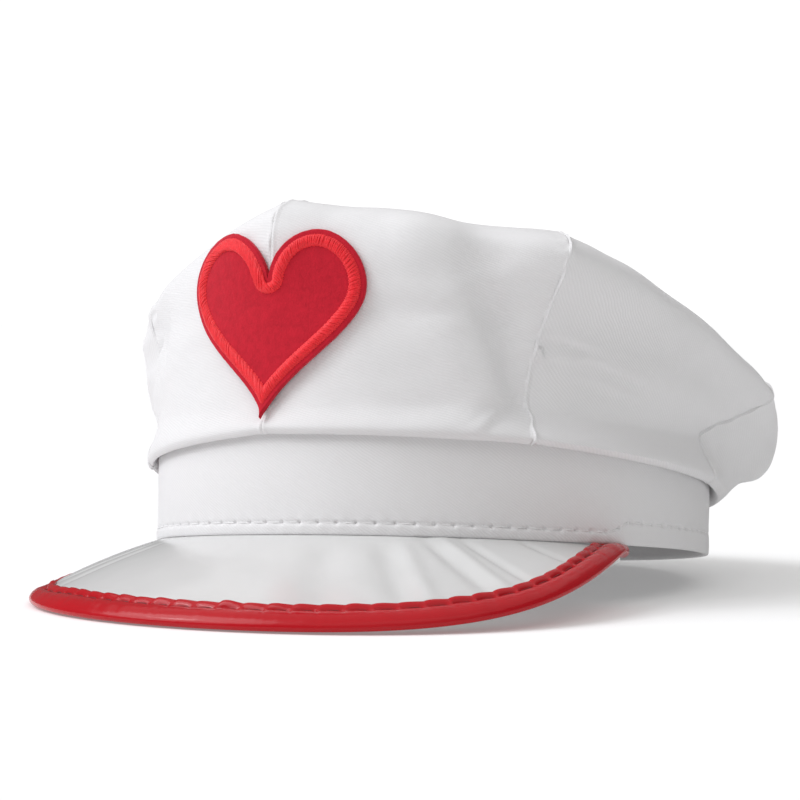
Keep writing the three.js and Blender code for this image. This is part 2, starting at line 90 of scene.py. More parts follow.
# Crown sections, from the front seam round by the wearer's left: a seam and the middle of a gore in turn.
CROWN_COLUMNS = "at angle roll_out roll_up waist_out waist_up fold_x fold_y fold_z belly rise"
CROWN_SECTIONS = table(CROWN_COLUMNS, [
    ("front seam", 0, 3.6, 29.4, 0.9, 38, 0.5, -98.2, 98.2, 0, -0.5),
    ("front left", 26, 3.8, 28.8, 0.8, 38, 41.5, -82.5, 92.4, -0.2, 1),
    ("side left seam", 51.5, 4, 28.1, -0.3, 39, 79.7, -61.6, 86.6, -4, 3),
    ("side left", 77, 4.2, 25, 1.6, 37, 94.3, -10, 72.9, 0.9, 1.2),
    ("back left seam", 102, 5, 21.9, 0.9, 37, 97.9, 46.1, 53.2, 1, 1.3),
    ("back left", 124, 5.5, 18, 8.5, 24, 81.8, 81.2, 44.6, 4.8, 1),
    ("rear left seam", 145, 6.5, 16.5, 10.2, 24, 62.4, 104, 40, 7.7, 1),
    ("rear left", 163, 7, 15.5, 10, 24.5, 34, 116, 39, 8, 1),
    ("rear seam", 180, 7, 15, 10, 25, 0, 120, 38, 8, 1),
    ("rear right", 197, 7, 15, 10, 25, -34, 116, 38, 8, 1),
    ("rear right seam", 215, 6.5, 15.5, 9.5, 25, -62, 103, 39, 7.5, 1),
    ("back right", 236, 6, 16.5, 8, 26, -82, 76, 42, 5.5, 1),
    ("back right seam", 258, 5.1, 18.5, 5, 30, -91.2, 38.6, 48.8, 1.6, 1),
    ("side right", 283, 4.4, 20.5, 5, 33.5, -96, -14.8, 59.5, 5, 1),
    ("side right seam", 308.5, 4, 23.5, 1.4, 36.7, -75.5, -58.9, 75.4, -3, 0.8),
    ("front right", 334, 3.8, 26.5, 1.6, 37.6, -39.8, -84.6, 86.2, 1.5, 0.8),
])
GORE_NAMES = (
    "crown_front_left", "crown_side_left", "crown_back_left", "crown_rear_left",
    "crown_rear_right", "crown_back_right", "crown_side_right", "crown_front_right",
)

# Mesh steps between the stations tuck, edge, drop, roll, turn, waist, belly, fold, mid and top, mesh steps
# across a gore, and how much of those is evenly spaced and not drawn to the seams.
STATION_STEPS = (3, 3, 6, 8, 12, 24, 24, 34, 28)
GORE_COLUMNS = 80
EVEN_SHARE = 0.2

# Dents and swells pressed into the gores, placed as in the solids.
DENT_COLUMNS = "gore across station reach_across reach_up slant depth"
DENTS = table(DENT_COLUMNS, [
    (0, 0.78, 6.3, 0.16, 0.9, -0.12, 3.2),
    (0, 0.45, 6.8, 0.2, 0.7, 0, -1.4),
    (0, 0.93, 5.6, 0.12, 0.5, 0, -1),
    (1, 0.35, 6.1, 0.25, 0.8, 0.1, 1.6),
    (1, 0.75, 6.2, 0.16, 0.6, -0.1, 1.2),
    (2, 0.4, 6.4, 0.25, 0.7, 0, 1.5),
    (4, 0.5, 6.5, 0.3, 0.6, 0.1, 1.5),
    (5, 0.55, 6.4, 0.25, 0.7, 0, 2),
    (6, 0.3, 6.2, 0.2, 0.8, 0.12, 2),
    (6, 0.9, 6.4, 0.12, 0.5, 0, 1.6),
    (7, 0.2, 6.3, 0.16, 0.6, 0.1, 1.8),
])

# Folds of the slack cloth, each through three places on a gore. Depth is pressed in, and widths are on the
# side of the wearer's right and on the side of the left, in millimetres, for folds that run upwards.
FOLD_COLUMNS = "gore a0 s0 a1 s1 a2 s2 wide_right wide_left depth"
FOLDS = table(FOLD_COLUMNS, [
    (0, 0.93, 4.75, 0.79, 5.60, 0.56, 6.50, 15, 7, -2.8),
    (0, 0.97, 4.95, 0.89, 5.70, 0.76, 6.45, 6, 9, 2.4),
    (0, 0.62, 6.20, 0.72, 6.42, 0.90, 6.60, 3, 7, -0.7),
    (0, 0.61, 6.00, 0.59, 6.55, 0.58, 7.30, 22, 9, -2.2),
    (0, 0.20, 5.10, 0.50, 5.00, 0.95, 5.05, 4, 6, 0.5),
    (0, 0.10, 7.10, 0.28, 6.90, 0.50, 7.05, 5, 7, 0.6),
    (1, -0.10, 5.76, 0.08, 5.86, 0.26, 5.82, 1.3, 5, 1.5),
    (1, -0.06, 5.64, 0.09, 5.72, 0.26, 5.70, 4, 2, -1.1),
    (1, 0.12, 5.66, 0.30, 5.66, 0.52, 5.50, 1.4, 6, 1.2),
    (1, 0.12, 5.52, 0.30, 5.52, 0.52, 5.36, 6, 2, -0.9),
    (1, 0.60, 6.60, 0.75, 6.20, 0.92, 5.90, 6, 9, 0.8),
    (1, 0.06, 6.55, 0.20, 6.40, 0.45, 6.25, 6, 9, 0.5),
    (2, 0.10, 5.40, 0.16, 4.90, 0.18, 4.30, 2, 4, 0.6),
    (2, 0.30, 6.60, 0.38, 6.00, 0.36, 5.30, 6, 6, 0.5),
    (2, 0.56, 6.90, 0.58, 6.10, 0.66, 5.20, 18, 18, -2.8),
    (3, 0.30, 6.80, 0.35, 6.20, 0.30, 5.40, 6, 8, 0.9),
    (4, 0.60, 6.80, 0.55, 6.10, 0.62, 5.40, 7, 6, 0.9),
    (5, 0.35, 6.70, 0.45, 6.10, 0.40, 5.40, 6, 7, 0.9),
    (6, 0.85, 6.70, 0.70, 6.20, 0.62, 5.50, 4, 9, 1.1),
    (6, 0.30, 6.50, 0.35, 6.00, 0.30, 5.40, 7, 6, 0.8),
    (6, 0.88, 6.90, 0.86, 6.30, 0.86, 5.60, 10, 10, -1.7),
    (7, 0.00, 7.10, 0.05, 6.55, 0.10, 5.95, 7, 8, 3.0),
    (7, 0.14, 6.35, 0.09, 5.90, 0.05, 5.25, 3, 5, -1.4),
    (7, 0.30, 6.90, 0.25, 6.30, 0.32, 5.50, 6, 7, 0.7),
])

# Places where a seam wanders to the wearer's left, in millimetres.
SHIFT_COLUMNS = "seam station reach shift"
SEAM_SHIFTS = table(SHIFT_COLUMNS, [
    (1, 4.72, 0.22, 1.2),
    (1, 5.55, 0.45, -0.6),
    (1, 6.75, 0.30, 0.5),
    (2, 4.70, 0.40, -0.6),
    (2, 5.60, 0.40, 0.8),
    (2, 6.60, 0.55, 2.5),
    (7, 5.40, 0.50, 0.7),
])

# The peak and the strip wrapped round its edge.
PEAK_REACH = 46.9
PEAK_HALF_ANGLE = 75.7
PEAK_ROUNDNESS = 3.47
PEAK_FULLNESS_RIGHT = 0.65
PEAK_FULLNESS_LEFT = 0.52
PEAK_SWING = 0.66
PEAK_LIFT_POWER_RIGHT = 9.0
PEAK_LIFT_POWER_LEFT = 3.71
PEAK_EDGE_HEIGHT = 1.77
PEAK_WALL = 1.2
PEAK_BULGE = 1.6
PEAK_TAB = 2.0
PEAK_GAP = 0.3
PEAK_END_DROP = 1.4
PEAK_SHEET_END = 0.965
BINDING_END = 0.9985
BINDING_WIDTH = 10.8
NARROWER_AT_LEFT_END = 1.0
NARROWER_AT_RIGHT_END = 1.8
NARROWS_AT_LEFT = (0.45, 0.75)
NARROWS_AT_RIGHT = (0.3, 0.5)
BINDING_WALL = 0.8
BINDING_PLAY = 0.45
BINDING_SLOT = PEAK_WALL + 2 * BINDING_PLAY

# Soft creases that fan out over the peak: where each starts and ends, its half width and its depth.
CREASE_COLUMNS = "place along end_place end_along half_width depth"
PEAK_CREASES = table(CREASE_COLUMNS, [
    (0.425, 0.0, 0.60, 0.8, 0.020, 0.8),
    (0.47, 0.0, 0.645, 0.8, 0.014, -0.5),
    (0.515, 0.0, 0.70, 0.75, 0.013, 0.65),
    (0.33, 0.1, 0.415, 0.85, 0.03, 0.8),
    (0.375, 0.05, 0.47, 0.85, 0.02, -0.5),
    (0.665, 0.0, 0.80, 0.5, 0.012, 0.4),
    (0.20, 0.1, 0.26, 0.9, 0.045, 0.9),
    (0.05, 0.3, 0.08, 0.9, 0.06, 0.4),
    (-0.42, 0.1, -0.52, 0.8, 0.012, 0.35),
    (-0.36, 0.1, -0.44, 0.8, 0.012, 0.3),
    (-0.60, 0.0, -0.72, 0.7, 0.02, 0.35),
])

# At the wearer's right end the binding lies flatter.
RIGHT_END_STARTS = 0.48
RIGHT_END_FULL = 0.66
RIGHT_END_FLATNESS = 0.65

# The patch on the front seam.
PATCH_WIDTH = 58.0
PATCH_HEIGHT = 57.0
PATCH_CENTRE_Z = 61.5
PATCH_LIFT = 0.65
PATCH_FELT = 1.8
PATCH_MARGIN = 1.5
BORDER_WIDTH = 3.3

# The pose on the table, and where the middle of the band's lower edge stands in it.
REST_TIP = 6.547
REST_ROLL = 2.492
BAND_MIDDLE = Vector(MOUNTS["head_opening"]["pos_m"])
POSE = (
    Matrix.Translation(BAND_MIDDLE)
    @ Matrix.Rotation(math.radians(-REST_TIP), 4, "X")
    @ Matrix.Rotation(math.radians(-REST_ROLL), 4, "Y")
    @ Matrix.Scale(MM, 4)
)

# The photograph's camera, measured from the middle of the band's lower edge.
CAMERA_DISTANCE = 0.9
CAMERA_AZIMUTH = 31.457
CAMERA_SIDESTEP = -0.01183
CAMERA_HEIGHT = 0.08687
CAMERA_TIP_DOWN = 1.6785
CAMERA_LENS = 124.34


def number_field(name, about, default, least=0.0, most=1000.0):
    """A property that holds a number."""
    return FloatProperty(name=name, description=about, default=default, min=least, max=most)


def colour_field(name, about, default):
    """A property that holds a colour."""
    return FloatVectorProperty(name=name, description=about, subtype="COLOR", default=default, min=0, max=1)


class CapSizes(bpy.types.PropertyGroup):
    """Sizes of the details that the cloth and the stitching have, in millimetres."""

    seam_depth: number_field("Seam depth", "How far a gore's edge rolls down into a seam", 0.8)
    seam_reach: number_field("Seam reach", "How far from a seam its rolled edge starts", 0.9, 0.1)
    seam_ridge: number_field("Seam ridge", "How far the turned-in cloth lifts one side of a seam", 0.85)
    pucker_height: number_field("Pucker height", "Height of the small puckers beside a seam", 0.3)
    pucker_length: number_field("Pucker length", "Distance from one pucker to the next", 7.5, 1)
    slack_height: number_field("Slack height", "Height of the slow waves of slack cloth", 0.9)
    lip_swell: number_field("Lip swell", "How far the crown's lower lip puffs out at the left", 1.3)
    lip_tuck: number_field("Lip tuck", "How close to the band the lip lies at the front", 0.6)
    waist_crease: number_field("Waist crease", "Depth of the crease above the lip", 1.7)
    stitch_pitch: number_field("Stitch pitch", "Distance from one stitch of the band to the next", 5.8, 1)
    binding_pitch: number_field("Binding stitch pitch", "Distance between the binding's stitches", 8.0, 1)
    thread_pitch: number_field("Border thread pitch", "Distance between the border's threads", 0.6, 0.2)
    patch_steps: IntProperty(
        name="Patch steps", description="Mesh steps round the felt patch", default=240, min=24)


class CapColours(bpy.types.PropertyGroup):
    """Colours of the cap's cloth, vinyl, felt and thread."""

    cloth: colour_field("Cloth", "White twill", (0.76, 0.755, 0.76))
    vinyl: colour_field("Peak vinyl", "White vinyl", (0.64, 0.64, 0.635))
    binding: colour_field("Binding", "Red vinyl", (0.44, 0.007, 0.013))
    felt: colour_field("Felt", "Red felt", (0.53, 0.014, 0.03))
    border: colour_field("Border thread", "Red thread", (0.82, 0.02, 0.03))


class CapStudio(bpy.types.PropertyGroup):
    """Light of the studio: strengths, and angles in degrees."""

    key: number_field("Key light", "Strength of the broad light on the left", 2.05)
    key_azimuth: number_field(
        "Key azimuth", "Where the broad light stands, from the cap's front to its right", 48.0, -180, 180)
    key_height: number_field("Key height", "How high the broad light stands", 42.0, 0, 90)
    top: number_field("Top light", "Strength of the light overhead", 1.25)
    fill: number_field("Fill light", "Strength of the light on the wearer's left", 0.3)
    spark: number_field("Spark", "Strength of the small light that gives the vinyl its crisp highlights", 0.3)
    air: number_field("Air", "Strength of the light from all round", 0.15)
    floor_glow: number_field("Floor glow", "Light of its own that keeps the floor pale", 0.2)


# The twill: its ribs' pitch in millimetres, how far they wander, the length of a float in pitches, how much
# of the weave is ribs, and how unevenly the yarn is spun.
TWILL_PITCH = 0.78
RIB_WANDER = 1.6
FLOAT_LENGTH = 0.8
RIB_SHARE = 0.75
SLUB_START = 0.3
SLUB_STRENGTH = 0.8


# Finishes.
def new_finish(name, colour, roughness, sheen=0.0, coat=0.0, specular=0.5):
    """A material with its shader, ready for a colour pattern and a relief."""
    material = bpy.data.materials.new(name)
    material.use_nodes = True
    tree = material.node_tree
    shader = tree.nodes["Principled BSDF"]
    shader.inputs["Base Color"].default_value = (*colour, 1)
    shader.inputs["Roughness"].default_value = roughness
    shader.inputs["Sheen Weight"].default_value = sheen
    shader.inputs["Sheen Roughness"].default_value = 0.45
    shader.inputs["Coat Weight"].default_value = coat
    shader.inputs["Coat Roughness"].default_value = 0.12
    shader.inputs["Specular IOR Level"].default_value = specular
    return material, tree, shader


def link(tree, source, socket):
    tree.links.new(source, socket)


def maths(tree, operation, *values):
    """A Math node on some values, each a number or a socket."""
    node = tree.nodes.new("ShaderNodeMath")
    node.operation = operation
    for socket, value in zip(node.inputs, values):
        if isinstance(value, (int, float)):
            socket.default_value = value
        else:
            link(tree, value, socket)
    return node.outputs[0]


def place_node(tree, kind, scale=(1, 1, 1)):
    """Texture coordinates of a kind, Object or UV, through a Mapping node."""
    source = tree.nodes.new("ShaderNodeTexCoord")
    mapping = tree.nodes.new("ShaderNodeMapping")
    mapping.inputs["Scale"].default_value = scale
    link(tree, source.outputs[kind], mapping.inputs["Vector"])
    return mapping.outputs[0]


def noise_node(tree, place, scale, detail=3.0, roughness=0.5):
    node = tree.nodes.new("ShaderNodeTexNoise")
    node.inputs["Scale"].default_value = scale
    node.inputs["Detail"].default_value = detail
    node.inputs["Roughness"].default_value = roughness
    link(tree, place, node.inputs["Vector"])
    return node.outputs["Fac"]


def bump_node(tree, height, distance, strength, below=None):
    node = tree.nodes.new("ShaderNodeBump")
    node.inputs["Distance"].default_value = distance
    node.inputs["Strength"].default_value = strength
    link(tree, height, node.inputs["Height"])
    if below is not None:
        link(tree, below, node.inputs["Normal"])
    return node.outputs[0]


def tint_node(tree, amount, low, high):
    """A colour between two, mixed by an amount."""
    node = tree.nodes.new("ShaderNodeMix")
    node.data_type = "RGBA"
    node.inputs[6].default_value = (*low, 1)
    node.inputs[7].default_value = (*high, 1)
    link(tree, amount, node.inputs[0])
    return node.outputs[2]


def shade(colour, factor):
    return tuple(min(1.0, channel * factor) for channel in colour)


def wave_node(tree, phase):
    """A wave from 0 to 1 over a phase."""
    return maths(tree, "MULTIPLY_ADD", maths(tree, "SINE", phase), 0.5, 0.5)


def blend_node(tree, first, second, share):
    """Two values added, the first by a share and the second by the rest."""
    first_share = maths(tree, "MULTIPLY", first, share)
    second_share = maths(tree, "MULTIPLY", second, 1 - share)
    return maths(tree, "ADD", first_share, second_share)


def paint(tree, shader, amount, colour, darker, lighter):
    """Colours a shader between a darker and a lighter shade of a colour, by an amount."""
    tint = tint_node(tree, amount, shade(colour, darker), shade(colour, lighter))
    link(tree, tint, shader.inputs["Base Color"])


def twill_finish(name, colour):
    """White cotton twill: fine diagonal ribs of short floats, on the piece's own UV map in millimetres."""
    material, tree, shader = new_finish(name, colour, roughness=0.85, sheen=0.15, specular=0.25)
    place = place_node(tree, "UV")
    parts = tree.nodes.new("ShaderNodeSeparateXYZ")
    link(tree, place, parts.inputs[0])
    across, along = parts.outputs["X"], parts.outputs["Y"]
    wander = maths(tree, "MULTIPLY", noise_node(tree, place, scale=0.12, detail=2.0), RIB_WANDER)
    wandering = maths(tree, "ADD", across, wander)
    ribs = wave_node(tree, maths(tree, "MULTIPLY", wandering, 2 * math.pi / TWILL_PITCH))
    run = maths(tree, "MULTIPLY", along, 2 * math.pi / (FLOAT_LENGTH * TWILL_PITCH))
    floats = wave_node(tree, maths(tree, "ADD", run, maths(tree, "MULTIPLY", across, math.pi / TWILL_PITCH)))
    weave = blend_node(tree, ribs, floats, RIB_SHARE)
    slub = maths(tree, "MULTIPLY_ADD", noise_node(tree, place, scale=0.9), SLUB_STRENGTH, SLUB_START)
    amount = maths(tree, "MULTIPLY", weave, slub)
    # The base colour is darker in the valleys between the ribs, which is painted shade of the weave's relief.
    # It also varies with the yarn's own uneven spinning (the slub).
    paint(tree, shader, amount, colour, darker=0.95, lighter=1.03)
    soft = bump_node(tree, noise_node(tree, place, scale=0.05), distance=0.9 * MM, strength=0.35)
    ribbed = bump_node(tree, amount, distance=0.08 * MM, strength=0.7, below=soft)
    link(tree, ribbed, shader.inputs["Normal"])
    return material


def vinyl_finish(name, colour, roughness, coat, wave_height, specular=0.5):
    """Soft glossy vinyl: a faint grain over slow unevenness."""
    material, tree, shader = new_finish(name, colour, roughness, coat=coat, specular=specular)
    place = place_node(tree, "Object")
    paint(tree, shader, noise_node(tree, place, scale=55.0), colour, darker=0.95, lighter=1.04)
    slow = noise_node(tree, place, scale=38.0, detail=2.0)
    grain = noise_node(tree, place, scale=2600.0, detail=2.0)
    soft = bump_node(tree, slow, distance=wave_height * MM, strength=0.6)
    grained = bump_node(tree, grain, distance=0.02 * MM, strength=0.35, below=soft)
    link(tree, grained, shader.inputs["Normal"])
    return material


def felt_finish(name, colour):
    """Pressed wool felt: short matted fibres with a mottled colour."""
    material, tree, shader = new_finish(name, colour, roughness=0.95, sheen=0.35, specular=0.15)
    shader.inputs["Sheen Tint"].default_value = (1.0, 0.45, 0.5, 1)
    mottle = noise_node(tree, place_node(tree, "Object"), scale=420.0, detail=5.0, roughness=0.7)
    stretched = place_node(tree, "Object", (1.0, 1.0, 0.35))
    fibre = noise_node(tree, stretched, scale=1900.0, detail=4.0, roughness=0.75)
    amount = blend_node(tree, mottle, fibre, 0.65)
    paint(tree, shader, amount, colour, darker=0.52, lighter=1.36)
    link(tree, bump_node(tree, amount, distance=0.35 * MM, strength=0.8), shader.inputs["Normal"])
    return material


def thread_finish(name, colour, spread=0.25, sheen=0.2):
    """Sewing thread: a fine fuzzy grain, with shades that differ a little along it."""
    material, tree, shader = new_finish(name, colour, roughness=0.5, sheen=sheen, specular=0.3)
    amount = noise_node(tree, place_node(tree, "Object"), scale=900.0, detail=4.0, roughness=0.7)
    paint(tree, shader, amount, colour, darker=1 - spread, lighter=1 + spread)
    link(tree, bump_node(tree, amount, distance=0.15 * MM, strength=0.7), shader.inputs["Normal"])
    return material


_finishes = {}


def finish(kind):
    """The finish of a kind, made once."""
    if kind not in _finishes:
        colours = bpy.context.scene.cap_colours
        cloth, vinyl, binding = tuple(colours.cloth), tuple(colours.vinyl), tuple(colours.binding)
        makers = {
            "twill": lambda: twill_finish("white_twill", cloth),
            "vinyl": lambda: vinyl_finish(
                "white_vinyl", vinyl, roughness=0.22, coat=0.2, wave_height=0.5),
            "binding": lambda: vinyl_finish(
                "red_vinyl", binding, roughness=0.2, coat=0.0, wave_height=0.3, specular=0.22),
            "felt": lambda: felt_finish("red_felt", tuple(colours.felt)),
            "border": lambda: thread_finish("red_border_thread", tuple(colours.border)),
            "white_thread": lambda: thread_finish("white_thread", shade(cloth, 1.05), spread=0.06),
            # The binding's stitch thread is 0.4 times the strip's red. This is painted shade of the groove it
            # lies in.
            "red_thread": lambda: thread_finish(
                "groove_shaded_stitch_thread", shade(binding, 0.4), spread=0.2, sheen=0.0),
        }
        _finishes[kind] = makers[kind]()
    return _finishes[kind]


# Meshes.
def select_only(piece):
    bpy.ops.object.select_all(action="DESELECT")
    piece.select_set(True)
    bpy.context.view_layer.objects.active = piece


@contextmanager
def edit_mode(piece):
    """Edit mode on a piece, with all of it selected."""
    select_only(piece)
    bpy.ops.object.mode_set(mode="EDIT")
    bpy.ops.mesh.select_all(action="SELECT")
    yield
    bpy.ops.object.mode_set(mode="OBJECT")


def sheet_from_grid(name, grid, uv=None, wrap=False):
    """A sheet that a grid primitive becomes when its points move to a grid of places in millimetres.

    The grid runs across to the wearer's left and then up. wrap joins its last column to its first."""
    columns, rows = grid.shape[:2]
    bpy.ops.object.select_all(action="DESELECT")
    bpy.ops.mesh.primitive_grid_add(x_subdivisions=columns - 1, y_subdivisions=rows - 1, size=1)
    piece = bpy.context.object
    piece.name = name
    piece.data.name = name
    points = np.empty(columns * rows * 3)
    piece.data.vertices.foreach_get("co", points)
    points = points.reshape(-1, 3)
    across = np.rint((points[:, 0] + 0.5) * (columns - 1)).astype(int)
    up = np.rint((points[:, 1] + 0.5) * (rows - 1)).astype(int)
    piece.data.vertices.foreach_set("co", posed(grid[across, up]).ravel())
    if uv is not None:
        corners = np.empty(len(piece.data.loops), dtype=int)
        piece.data.loops.foreach_get("vertex_index", corners)
        layer = piece.data.uv_layers[0]
        layer.data.foreach_set("uv", uv[across[corners], up[corners]].ravel())
    piece.data.update()
    if wrap:
        with edit_mode(piece):
            bpy.ops.mesh.remove_doubles(threshold=0.00001)
    return piece


def posed(points):
    """Upright millimetres into the frame's metres, in the pose on the table."""
    turn = np.array(POSE)
    return points.reshape(-1, 3) @ turn[:3, :3].T + turn[:3, 3]


def apply_modifier(piece, kind, **settings):
    select_only(piece)
    modifier = piece.modifiers.new(kind.title(), kind)
    for key, value in settings.items():
        setattr(modifier, key, value)
    bpy.ops.object.modifier_apply(modifier=modifier.name)


def dress(piece, kind, slot, *nodes):
    """Gives a finished piece its material, its smooth shading and its place on the cap."""
    piece.data.materials.clear()
    piece.data.materials.append(finish(kind))
    select_only(piece)
    bpy.ops.object.shade_smooth_by_angle(angle=math.radians(50))
    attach(piece, "root")
    if nodes:
        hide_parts(*nodes)
    return piece


def loose_mesh(name, points, faces):
    """A piece from places in millimetres and faces of their numbers."""
    mesh = bpy.data.meshes.new(name)
    mesh.from_pydata([tuple(point) for point in posed(np.asarray(points, dtype=float))], [], faces)
    mesh.update()
    piece = bpy.data.objects.new(name, mesh)
    bpy.context.scene.collection.objects.link(piece)
    return piece


def recalculate(piece):
    """Turns all of a piece's faces outwards."""
    with edit_mode(piece):
        bpy.ops.mesh.normals_make_consistent(inside=False)


def ring_faces(rings, size, closed=False):
    """Faces between rings of points, one ring after the other, and from the last to the first if closed."""
    faces = []
    for ring in range(rings if closed else rings - 1):
        after = (ring + 1) % rings
        for k in range(size):
            beside = (k + 1) % size
            faces.append((ring * size + k, ring * size + beside, after * size + beside, after * size + k))
    return faces


def tube_faces(rings, size):
    """Faces of a closed tube: those between its rings, and its two ends."""
    last = (rings - 1) * size
    return ring_faces(rings, size) + [tuple(range(size))[::-1], tuple(range(last, last + size))]


def shifted(faces, start):
    """Faces whose corners are counted on from a start."""
    return [tuple(start + corner for corner in face) for face in faces]


def surface_of(grid):
    """A grid of places as a surface for rays to meet."""
    columns, rows = grid.shape[:2]
    faces = [
        (i * rows + j, (i + 1) * rows + j, (i + 1) * rows + j + 1, i * rows + j + 1)
        for i in range(columns - 1) for j in range(rows - 1)
    ]
    return BVHTree.FromPolygons([Vector(point) for point in grid.reshape(-1, 3)], faces)


# Measures.
def unit(vector):
    return vector / np.linalg.norm(vector)


def bell(value, width):
    return np.exp(-(value / width) ** 2)


def smooth_step(value, low, high):
    """From 0 below a low value to 1 above a high one, eased at both."""
    t = np.clip((value - low) / (high - low), 0, 1)
    return t * t * (3 - 2 * t)


def run_along(points):
    """How far along a line of points each of them is."""
    return np.concatenate([[0], np.cumsum(np.linalg.norm(np.diff(points, axis=0), axis=1))])


def turned(u, v, degrees):
    """Flat coordinates turned by an angle."""
    c, s = math.cos(math.radians(degrees)), math.sin(math.radians(degrees))
    return np.stack([u * c + v * s, v * c - u * s], -1)


# The oval.
def oval_normal(angle):
    """The direction straight out of the oval at an angle round it."""
    across = np.sin(angle) / BAND_HALF_WIDTH
    along = -np.cos(angle) / BAND_HALF_LENGTH
    size = np.hypot(across, along)
    return np.stack([across / size, along / size, np.zeros_like(across)], -1)


def oval_point(angle, out, up):
    """A place at an angle round the oval, moved out from it and up."""
    angle = np.asarray(angle, dtype=float)
    across, along = BAND_HALF_WIDTH * np.sin(angle), -BAND_HALF_LENGTH * np.cos(angle)
    base = np.stack([across, along, np.zeros_like(angle)], -1)
    point = base + oval_normal(angle) * np.broadcast_to(out, angle.shape)[..., None]
    point[..., 2] += np.broadcast_to(up, angle.shape)
    return point


# The crown.
def section_rows(gore, across):
    """The table's row at each place across a gore: a parabola through seam, middle and seam."""
    first = CROWN_SECTIONS[2 * gore]
    middle = CROWN_SECTIONS[2 * gore + 1]
    second = dict(CROWN_SECTIONS[(2 * gore + 2) % len(CROWN_SECTIONS)])
    if second["angle"] == 0:
        second["angle"] = 360
    rows = {}
    for column in CROWN_COLUMNS.split()[1:]:
        straight = first[column] * (1 - across) + second[column] * across
        swell = middle[column] - (first[column] + second[column]) / 2
        rows[column] = straight + swell * 4 * across * (1 - across)
    return rows


def section_stations(rows):
    """The ten stations of each section, from the tuck on the band to the middle of the top."""
    angle = np.radians(rows["angle"])
    out = oval_normal(angle)
    drop = TUCK_HEIGHT - rows["roll_up"]
    waist = oval_point(angle, rows["waist_out"], rows["waist_up"])
    fold = np.stack([rows["fold_x"], rows["fold_y"], rows["fold_z"]], -1)
    top = np.broadcast_to(np.array(CROWN_TOP), fold.shape)
    belly = (waist + fold) / 2 + out * rows["belly"][:, None]
    mid = (fold + top) / 2
    mid[:, 2] += rows["rise"]
    return np.stack([
        oval_point(angle, -TUCK_INWARD, TUCK_HEIGHT),
        oval_point(angle, EDGE_OUT, TUCK_HEIGHT),
        oval_point(angle, DROP_OUT, TUCK_HEIGHT - DROP_SHARE * drop),
        oval_point(angle, DROP_OUT + ROLL_SHARE * (rows["roll_out"] - DROP_OUT), rows["roll_up"]),
        oval_point(angle, rows["roll_out"], rows["roll_up"] + TURN_RISE),
        waist, belly, fold, mid, top,
    ], 1)


def station_places():
    """Places up a section, counted in stations, with the mesh steps between them."""
    places = [0.0]
    last = len(STATION_STEPS) - 1
    for station, steps in enumerate(STATION_STEPS):
        reach = CROWN_TIP_FRACTION if station == last else 1.0
        places += [station + reach * step / steps for step in range(1, steps + 1)]
    return np.array(places)


def smooth_sections(stations, places):
    """Smooth curves through the stations of every section at once."""
    steps = np.sqrt(np.linalg.norm(np.diff(stations, axis=1), axis=2))[..., None]
    slopes = np.diff(stations, axis=1) / steps
    tangents = np.empty_like(stations)
    tangents[:, 0] = slopes[:, 0]
    tangents[:, -1] = slopes[:, -1]
    before, after = steps[:, :-1], steps[:, 1:]
    tangents[:, 1:-1] = (slopes[:, :-1] * after + slopes[:, 1:] * before) / (before + after)
    index = np.minimum(places.astype(int), stations.shape[1] - 2)
    s = (places - index)[None, :, None]
    length = steps[:, index]
    return (
        (2 * s ** 3 - 3 * s ** 2 + 1) * stations[:, index]
        + (s ** 3 - 2 * s ** 2 + s) * length * tangents[:, index]
        + (3 * s ** 2 - 2 * s ** 3) * stations[:, index + 1]
        + (s ** 3 - s ** 2) * length * tangents[:, index + 1]
    )


def grid_normals(grid):
    across = np.gradient(grid, axis=0)
    up = np.gradient(grid, axis=1)
    normals = np.cross(across, up)
    return normals / np.maximum(np.linalg.norm(normals, axis=-1, keepdims=True), 1e-9)


def dent_depths(gore, across, places):
    depth = np.zeros((len(across), len(places)))
    a, p = np.meshgrid(across, places, indexing="ij")
    seam_fade = np.minimum(1, 6 * a * (1 - a))
    for dent in DENTS:
        if dent["gore"] != gore:
            continue
        up = (p - dent["station"]) / dent["reach_up"]
        side = (a - dent["across"] - dent["slant"] * (p - dent["station"])) / dent["reach_across"]
        depth += dent["depth"] * seam_fade * np.exp(-up ** 2 - side ** 2)
    return depth


def gore_across():
    """Places across a gore, closer together beside its seams."""
    even = np.linspace(0, 1, GORE_COLUMNS + 1)
    return EVEN_SHARE * even + (1 - EVEN_SHARE) * (1 - np.cos(math.pi * even)) / 2


def gore_surface(gore, across, places):
    """The outer surface of a gore with its dents, before its seams and slack."""
    grid = smooth_sections(section_stations(section_rows(gore, across)), places)
    return grid - grid_normals(grid) * dent_depths(gore, across, places)[..., None]


# Slack cloth waves slowly and quickly: how long the waves are sideways and upwards, in millimetres, and how
# strong the quick ones are against the slow.
SLOW_WAVE = 31
SLOW_RISE = 19
QUICK_WAVE = 13
QUICK_RISE = 9
QUICK_SHARE = 0.35


def slack_waves(grid, height):
    """Slow waves of slack cloth, the same on both sides of a seam."""
    waves = np.empty(grid.shape[:2])
    for place in np.ndindex(waves.shape):
        x, y, z = grid[place]
        slow = noise.noise(Vector((x / SLOW_WAVE, y / SLOW_WAVE, z / SLOW_RISE)))
        quick = noise.noise(Vector((x / QUICK_WAVE + 7, y / QUICK_WAVE, z / QUICK_RISE)))
        waves[place] = slow + QUICK_SHARE * quick
    return waves * height


def seam_distances(grid):
    """How far each place of a gore is from its two seams, over the cloth, in millimetres."""
    steps = np.linalg.norm(np.diff(grid, axis=0), axis=2)
    along = np.concatenate([np.zeros((1, grid.shape[1])), np.cumsum(steps, axis=0)])
    return along, along[-1] - along


def run_up(grid):
    """How far up a gore each row is, along its middle."""
    return run_along(grid[len(grid) // 2])


# How strong the front seam's ridge is, against the others, and how far from a seam the folds of its two
# gores are brought together, in millimetres.
FRONT_SEAM_RIDGE = 0.4
SEAM_MATCH = 6.0

